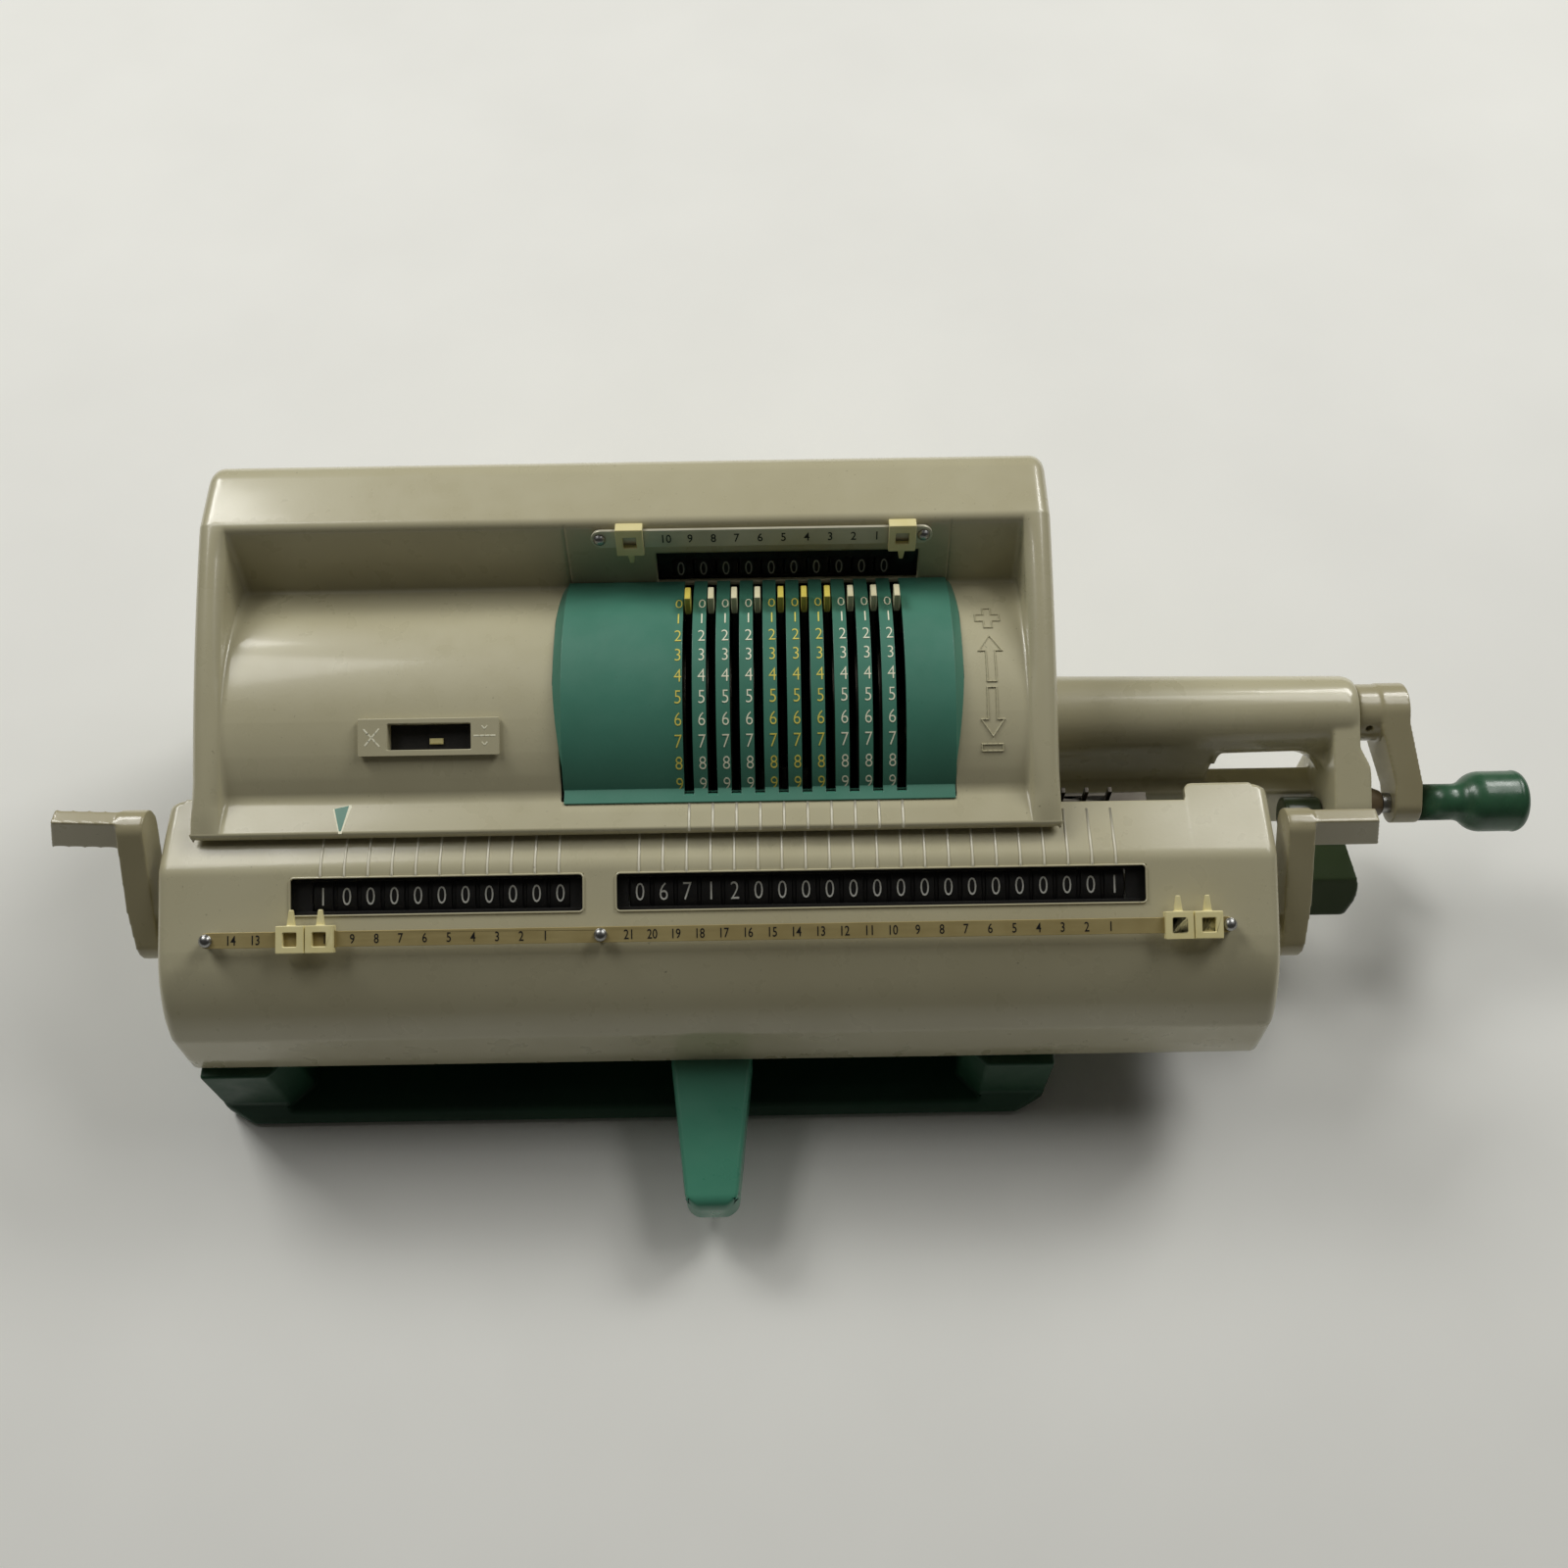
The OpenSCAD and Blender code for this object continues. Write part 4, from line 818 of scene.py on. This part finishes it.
def masks():
    """Black shields behind the windows, which leave one row of digits to be seen."""
    heap = Heap()
    for x, w in WINDOWS:
        for side in (-1, 1):
            heap.add(*slab(w + 6, 3.0, -2.1, -1.7, 0.1), on_slope(x, side * 5.85))
    for x, w in ((-93.6, 8.2), (-10.3, 6.4), (1.9, 3.6), (153.2, 6.2)):
        heap.add(*slab(w, 13.0, -2.9, -2.5, 0.1), on_slope(x, 0))
    heap.put("window_shields", BLACK, "carriage")
    heap = Heap()
    for x, up, w, h, back, front in (
        (52.15, 1.7, 82.0, 2.2, -2.3, -1.9),
        (52.15, 12.1, 82.0, 5.4, -2.3, -1.9),
        (14.0, 7.9, 5.4, 14.0, -2.6, -2.2),
        (88.5, 7.9, 9.4, 14.0, -2.6, -2.2),
    ):
        heap.add(*slab(w, h, back, front, 0.1), on_wall(x, up))
    heap.put("check_shield", BLACK, "frame")


def spacers():
    """Black rings between the digit wheels, which fill the gaps where the hub would show in shade: painted
    shade.
    """
    ring = lathe([(10.9, -0.62), (11.4, -0.4), (11.4, 0.4), (10.9, 0.62)], 60)
    turn = Matrix.Rotation(math.radians(90), 4, "Y") @ Matrix.Scale(MM, 4)
    for register, first, shown in REGISTERS:
        heap = Heap()
        for i in range(len(shown) - 1):
            place = Matrix.Translation(Vector((first + PITCH * (i + 0.5), *REG_SHAFT)) * MM)
            heap.add(*ring, place @ turn)
        heap.put(f"{register}_spacers", BLACK, f"{register}_drums")


def domes():
    """Domed screw heads on both scale bars."""
    head = lathe([(1.8, 0.0), (1.85, 0.25), (1.7, 0.7), (1.35, 1.1), (0.8, 1.4), (0.25, 1.48)], 28)
    for name, body, face, bar, screws in (
        ("check_bar_heads", "frame", on_wall, UPPER_BAR, (-48.6, 48.6)),
        ("carriage_bar_heads", "carriage", on_slope, LOWER_BAR, (-148.3, -33.7, 148.9)),
    ):
        heap = Heap()
        for x in screws:
            heap.add(*head, face(bar[0] + x, *bar[1:]))
        heap.put(name, STEEL, body, smooth=True)


def ribs():
    """Ribs at the columns, on the carriage's crease and on the hood's lip, in a beige lighter than the enamel
    round them: a painted highlight.
    """
    c, s = unit(SLOPE)
    crease = [(-20.0, 86.90, 0, 1), (-30.0, 86.64, 0, 1)]
    crease += [(-33.6, 86.53, -0.03, 1), (-35.3, 86.32, -0.22, 0.975)]
    crease += [(CREASE[0] - c * d, CREASE[1] - s * d, -s, c) for d in (1.9, 2.6, 3.0)]
    lip = [(y, lip_z(y), -0.06, 0.998) for y in (-18.4, -22.0, -25.6)]
    lip += [(-26.4, 91.5, -0.3, 0.95), (-27.0, 91.1, -0.8, 0.6), (-27.15, 90.2, -1, 0)]
    wheels = [x for _, first, shown in REGISTERS for x in wheel_xs(first, shown)]
    slots = [slot_x(i) for i in range(LEVERS)]
    for name, body, path, height, xs in (
        ("carriage_ribs", "carriage", crease, 0.5, wheels),
        ("lip_ribs", "frame", lip, 0.45, slots),
    ):
        rib = sweep(path, 0.36, height)
        heap = Heap()
        for x in xs:
            heap.add(*rib, Matrix.Translation((x * MM, 0, 0)) @ Matrix.Scale(MM, 4))
        heap.put(name, PAINTED_HIGHLIGHT_BEIGE, body, smooth=True)


def window_frames():
    """Rolled edges round the register windows."""
    heap = Heap()
    profile = [(0.0, -1.0), (0.0, 0.30), (0.3, 0.42), (0.75, 0.38), (1.0, 0.0), (1.0, -0.3)]
    for x, w in WINDOWS:
        heap.add(*ring_frame(w - 0.2, WIN_H - 0.2, 1.0, 0.6, profile), on_slope(x, 0))
    heap.put("window_frames", BEIGE, "carriage", smooth=True)


def pointer():
    """Green triangle with light edges on the lip."""
    edge = [(-83.5, -18.9), (-78.2, -17.6), (-78.0, -18.3), (-80.1, -27.0), (-81.0, -27.0)]
    inside = [(-83.0, -18.9), (-78.8, -17.9), (-80.3, -26.1), (-80.9, -26.2)]
    for name, mat, points, top in (("pointer_edge", CREAM_INK, edge, 0.06), ("pointer", DIAL, inside, 0.12)):
        n = len(points)
        face = [(x, y, lip_z(y) + top) for x, y in points]
        verts = face + [(x, y, z - 0.3) for x, y, z in face]
        faces = [tuple(reversed(range(n))), tuple(range(n, 2 * n))]
        faces += [(k, (k + 1) % n, n + (k + 1) % n, n + k) for k in range(n)]
        add_mesh(name, verts, faces, mat, "frame")


# Digits and signs


def dial_digits():
    for name, ink, columns in (
        ("dial_digits_yellow", YELLOW_INK, YELLOW_COLUMNS),
        ("dial_digits_cream", CREAM_INK, CREAM_COLUMNS),
    ):
        heap = Heap()
        for i in columns:
            for d in range(10):
                angle = LEVER_ZERO - DIGIT_STEP * d
                place = on_cylinder(slot_x(i) - DIGIT_SHIFT, SHAFT, DIAL_R - SUNK, angle)
                heap.add(*glyph(str(d), 3.9, 0.10, 0.012, 0.86), place)
        heap.put(name, ink, "frame")


def wheel_digits(name, body, xs, shown, centre, r, angle, height):
    """Ten digits round each wheel, with the one that is shown at this angle."""
    heap = Heap()
    for x, value in zip(xs, shown):
        for d in range(10):
            place = on_cylinder(x, centre, r - SUNK, angle + 36 * (d - value))
            heap.add(*glyph(str(d), height, 0.08, 0.010, 0.78), place)
    heap.put(name, DIGIT_INK, body)


def all_wheel_digits():
    for i in range(LEVERS):
        column = f"{i + 1:02d}"
        xs = [slot_x(i) - DIGIT_SHIFT]
        wheel_digits(f"check_digits_{column}", f"check_digit_{column}", xs, [0], *CHECK_WHEELS)
    for register, first, shown in REGISTERS:
        xs = wheel_xs(first, shown)
        wheel_digits(f"{register}_digits", f"{register}_drums", xs, shown, *REGISTER_WHEELS)


def bar_numbers():
    """Printed numbers of the places on both scale bars, each left of its column."""
    heap = Heap()
    for i in range(LEVERS):
        heap.add(*glyph(str(LEVERS - i), 3.1, 0.06, -0.006, 0.8), on_wall(slot_x(i) - 5.85, *UPPER_BAR[1:]))
    heap.put("check_bar_numbers", INK, "frame")
    heap = Heap()
    for first, count, shift in ((RESULT_FIRST, 21, 2.9), (COUNTER_FIRST - 3 * PITCH, 14, 3.4)):
        for i in range(count):
            place = on_slope(first + PITCH * i - shift, *LOWER_BAR[1:])
            heap.add(*glyph(str(count - i), 2.8, 0.06, -0.004, 0.78), place)
    heap.put("carriage_bar_numbers", INK, "carriage")


def add_bar(heap, start, end, width, height):
    """A raised bar between two places on a surface."""
    run = end.translation - start.translation
    normal = (start.to_3x3() @ Vector((0, 0, 1)) + end.to_3x3() @ Vector((0, 0, 1))).normalized()
    ahead = run.normalized()
    m = Matrix((ahead, normal.cross(ahead), normal)).transposed().to_4x4()
    m.translation = (start.translation + end.translation) / 2
    heap.add(*slab(run.length / MM + width, width, -0.15, height, height * 0.45), m @ Matrix.Scale(MM, 4))


def bars_on(heap, place, lines, width, height):
    """Raised lines in pieces short enough to follow a curved surface; place gives a matrix for a point."""
    for a, b in lines:
        n = max(1, math.ceil((place(*a).translation - place(*b).translation).length / MM / PIECE))
        points = [(a[0] + (b[0] - a[0]) * k / n, a[1] + (b[1] - a[1]) * k / n) for k in range(n + 1)]
        for p, q in zip(points, points[1:]):
            add_bar(heap, place(*p), place(*q), width, height)


def outline(points):
    return list(zip(points, points[1:] + points[:1]))


def embossed_signs():
    """Plus, an arrow up, an arrow down and minus, on the arc right of the dial."""
    x_middle = 112.2
    width, height = 0.42, 0.36
    heap = Heap()
    arm, half = 1.2, 3.6
    plus = [(-arm, half), (arm, half), (arm, arm), (half, arm), (half, -arm), (arm, -arm)]
    plus += [(arm, -half), (-arm, -half), (-arm, -arm), (-half, -arm), (-half, arm), (-arm, arm)]
    per_mm = math.degrees(1 / RECESS_R)
    bars_on(heap, lambda x, y: on_recess(x_middle + x, 7.5 + y * per_mm * 1.08), outline(plus), width, height)
    # The other points are in x and in degrees round the arc
    up = [(0, 0.6), (3.5, -4.7), (1.35, -4.7), (1.35, -14.6)]
    up += [(-1.35, -14.6), (-1.35, -4.7), (-3.5, -4.7)]
    down = [(0, -31.0), (3.4, -26.0), (1.35, -26.0), (1.35, -16.4)]
    down += [(-1.35, -16.4), (-1.35, -26.0), (-3.4, -26.0)]
    minus = [(-3.1, -33.3), (3.1, -33.3), (3.1, -35.3), (-3.1, -35.3)]
    for shift, points in ((0, up), (-0.2, down), (-0.4, minus)):
        bars_on(heap, lambda x, lean: on_recess(x_middle + shift + x, lean), outline(points), width, height)
    heap.put("embossed_signs", BEIGE, "frame")


def sign_window():
    """Cross and division sign on the sign window's frame, a black plate behind the opening that paints its
    shade, and the shutter's tab.
    """

    def place(x, y):
        return on_recess(SIGN_MIDDLE, -SIGN_TILT) @ Matrix.Translation((x, y, 1.6))

    heap = Heap()
    cross = [((-18.9, 2.3), (-14.5, -2.6)), ((-18.6, -2.3), (-14.6, 2.4))]
    dash = [((13.6, 0.1), (19.6, 0.1))]
    bars_on(heap, place, cross + dash, 0.45, 0.06)
    upper_dot = [((15.9, 2.9), (16.6, 2.1)), ((16.6, 2.1), (17.3, 2.9))]
    lower_dot = [((15.9, -1.9), (16.6, -2.7)), ((16.6, -2.7), (17.3, -1.9))]
    bars_on(heap, place, upper_dot + lower_dot, 0.35, 0.06)
    heap.put("sign_marks", CREAM_INK, "frame")
    # A black plate under the opening stands in for the shaded inside: painted shade.
    heap = Heap()
    heap.add(*slab(25.6, 8.8, -5.0, -4.5, 0.1), place(0.2, 0))
    heap.put("sign_painted_shade", BLACK, "frame")
    heap = Heap()
    heap.add(*slab(4.0, 1.7, -4.2, -2.9, 0.3), place(1.7, -1.2))
    heap.put("sign_tab", CREAM, "sign_shutter")


# Finishes of the CAD nodes


def refinish(node, mat):
    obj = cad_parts[node]
    obj.data.materials.clear()
    obj.data.materials.append(mat)
    return obj


def dress(node, mat, bevel):
    """A node with this finish and with softened edges."""
    obj = refinish(node, mat)
    obj.data.polygons.foreach_set("use_smooth", [True] * len(obj.data.polygons))
    weld = obj.modifiers.new("weld", "WELD")
    weld.merge_threshold = 0.004 * MM
    flat = obj.modifiers.new("flat", "DECIMATE")
    flat.decimate_type = "DISSOLVE"
    flat.angle_limit = math.radians(0.6)
    if bevel:
        soft = obj.modifiers.new("soft", "BEVEL")
        soft.width = bevel * MM
        soft.segments = 3
        soft.limit_method = "ANGLE"
        soft.angle_limit = math.radians(32)
        soft.use_clamp_overlap = False
        soft.miter_outer = "MITER_ARC"
        soft.harden_normals = False
    even_shade(obj)


def cast(node, mat, voxel, rounds):
    """A node with this finish and the soft edges of a casting."""
    obj = refinish(node, mat)
    remesh = obj.modifiers.new("remesh", "REMESH")
    remesh.mode = "VOXEL"
    remesh.voxel_size = voxel * MM
    remesh.use_smooth_shade = True
    smooth = obj.modifiers.new("smooth", "SMOOTH")
    smooth.factor = 0.5
    smooth.iterations = rounds


# Each node with its finish and the width of its bevel
DRESSED = [
    ("base_casting", BASE, 1.0),
    ("rubber_feet", RUBBER, 0.6),
    ("side_frames", STEEL, 0.3),
    ("dial_cover", DIAL, 0.15),
    ("check_window", GLASS, 0.0),
    ("check_scale_bar", SCALE, 0.15),
    ("check_wheel_shaft", STEEL, 0.3),
    ("sign_window_frame", BEIGE, 0.3),
    ("sign_slide", BLACK, 0.15),
    ("crank_lock_boss", BOSS, 0.4),
    ("carriage_rail", STEEL, 0.3),
    ("main_shaft", STEEL, 0.4),
    ("pinwheel_rotor", DARK_STEEL, 0.3),
    ("crank_knob", KNOB, 0.0),
    ("knob_stud", STEEL, 0.2),
    ("check_marker_left", CREAM, 0.3),
    ("check_marker_right", CREAM, 0.3),
    ("carriage_chassis", STEEL, 0.4),
    ("register_windows", GLASS, 0.0),
    ("register_shafts", STEEL, 0.3),
    ("counter_wheels", BLACK, 0.3),
    ("result_wheels", BLACK, 0.3),
    ("transfer_gears", BRASS, 0.15),
    ("carry_levers", DARK_STEEL, 0.15),
    ("carriage_scale_bar", STRIP, 0.15),
    ("counter_marker_left", CREAM, 0.3),
    ("counter_marker_right", CREAM, 0.3),
    ("result_marker_left", CREAM, 0.3),
    ("result_marker_right", CREAM, 0.3),
    ("carriage_shift_handle", HANDLE, 1.6),
    ("check_scale_screws", STEEL, 0.1),
    ("carriage_scale_screws", STEEL, 0.1),
]
# Each node with its finish, the size of its voxels and its rounds of smoothing
CASTINGS = [
    ("arm_housing", BEIGE, 0.6, 8),
    ("crank_arm", SHADED_BEIGE, 0.4, 7),
    ("dial_clear_lever", PADDLE, 0.5, 10),
    ("left_clearing_lever", SHADED_BEIGE, 0.4, 6),
    ("right_clearing_lever", SHADED_BEIGE, 0.4, 6),
]


def finishes():
    for row in DRESSED:
        dress(*row)
    for row in CASTINGS:
        cast(*row)
    for i in range(LEVERS):
        dress(f"setting_lever_{i + 1:02d}", LEVER_YELLOW if i in YELLOW_COLUMNS else LEVER_CREAM, 0.3)
        dress(f"check_wheel_{i + 1:02d}", BLACK, 0.2)


# Stage, lamps and camera


def floor_and_air():
    mat = Mat("floor", lin(246, 246, 241), rough=0.9)
    mat.colour(mat.mix(mat.ramp(mat.noise(0.012, 3), 0.3, 0.7), lin(247, 247, 242), lin(243, 243, 238)))
    half = 4.0
    corners = [(-half, -half, 0), (half, -half, 0), (half, half, 0), (-half, half, 0)]
    mesh = bpy.data.meshes.new("floor")
    mesh.from_pydata(corners, [], [(0, 1, 2, 3)])
    mesh.materials.append(mat.m)
    floor = bpy.data.objects.new("floor", mesh)
    bpy.context.scene.collection.objects.link(floor)
    world = bpy.data.worlds.new("studio")
    bpy.context.scene.world = world
    world.use_nodes = True
    world.node_tree.nodes["Background"].inputs["Color"].default_value = (1.0, 0.95, 0.85, 1)
    world.node_tree.nodes["Background"].inputs["Strength"].default_value = 0.04


def lamp(name, place, size, power):
    """A wide soft lamp that is aimed at the middle of the machine."""
    data = bpy.data.lights.new(name, "AREA")
    data.shape = "RECTANGLE"
    data.size, data.size_y = size
    data.energy = power
    data.color = (1.0, 0.995, 0.97)
    obj = bpy.data.objects.new(name, data)
    bpy.context.scene.collection.objects.link(obj)
    obj.location = Vector(place) + MIDDLE
    obj.rotation_mode = "QUATERNION"
    obj.rotation_quaternion = (Vector((0.05, 0.0, 0.06)) - Vector(place)).to_track_quat("-Z", "Y")


def camera():
    data = bpy.data.cameras.new("camera")
    data.lens = 36.0
    data.sensor_width = 36.0
    obj = bpy.data.objects.new("camera", data)
    bpy.context.scene.collection.objects.link(obj)
    turn = Matrix.Rotation(math.radians(30), 4, "X") @ Matrix.Rotation(-0.0165, 4, "Z")
    obj.matrix_world = Matrix.Translation(Vector((0.050, -0.2462, 0.4962)) + MIDDLE) @ turn
    bpy.context.scene.camera = obj


finishes()
hood()
carriage()
masks()
spacers()
domes()
dial_digits()
all_wheel_digits()
bar_numbers()
ribs()
window_frames()
embossed_signs()
sign_window()
pointer()
floor_and_air()
lamp("left_window", (-0.75, 0.75, 0.98), (0.5, 0.35), 6.7)
lamp("right_window", (0.85, 0.75, 0.98), (0.5, 0.35), 6.7)
lamp("left_ceiling", (-0.6, 0.35, 1.2), (0.6, 0.3), 2.8)
lamp("right_ceiling", (0.7, 0.35, 1.2), (0.6, 0.3), 2.8)
camera()
bpy.context.scene.view_settings.view_transform = "Standard"
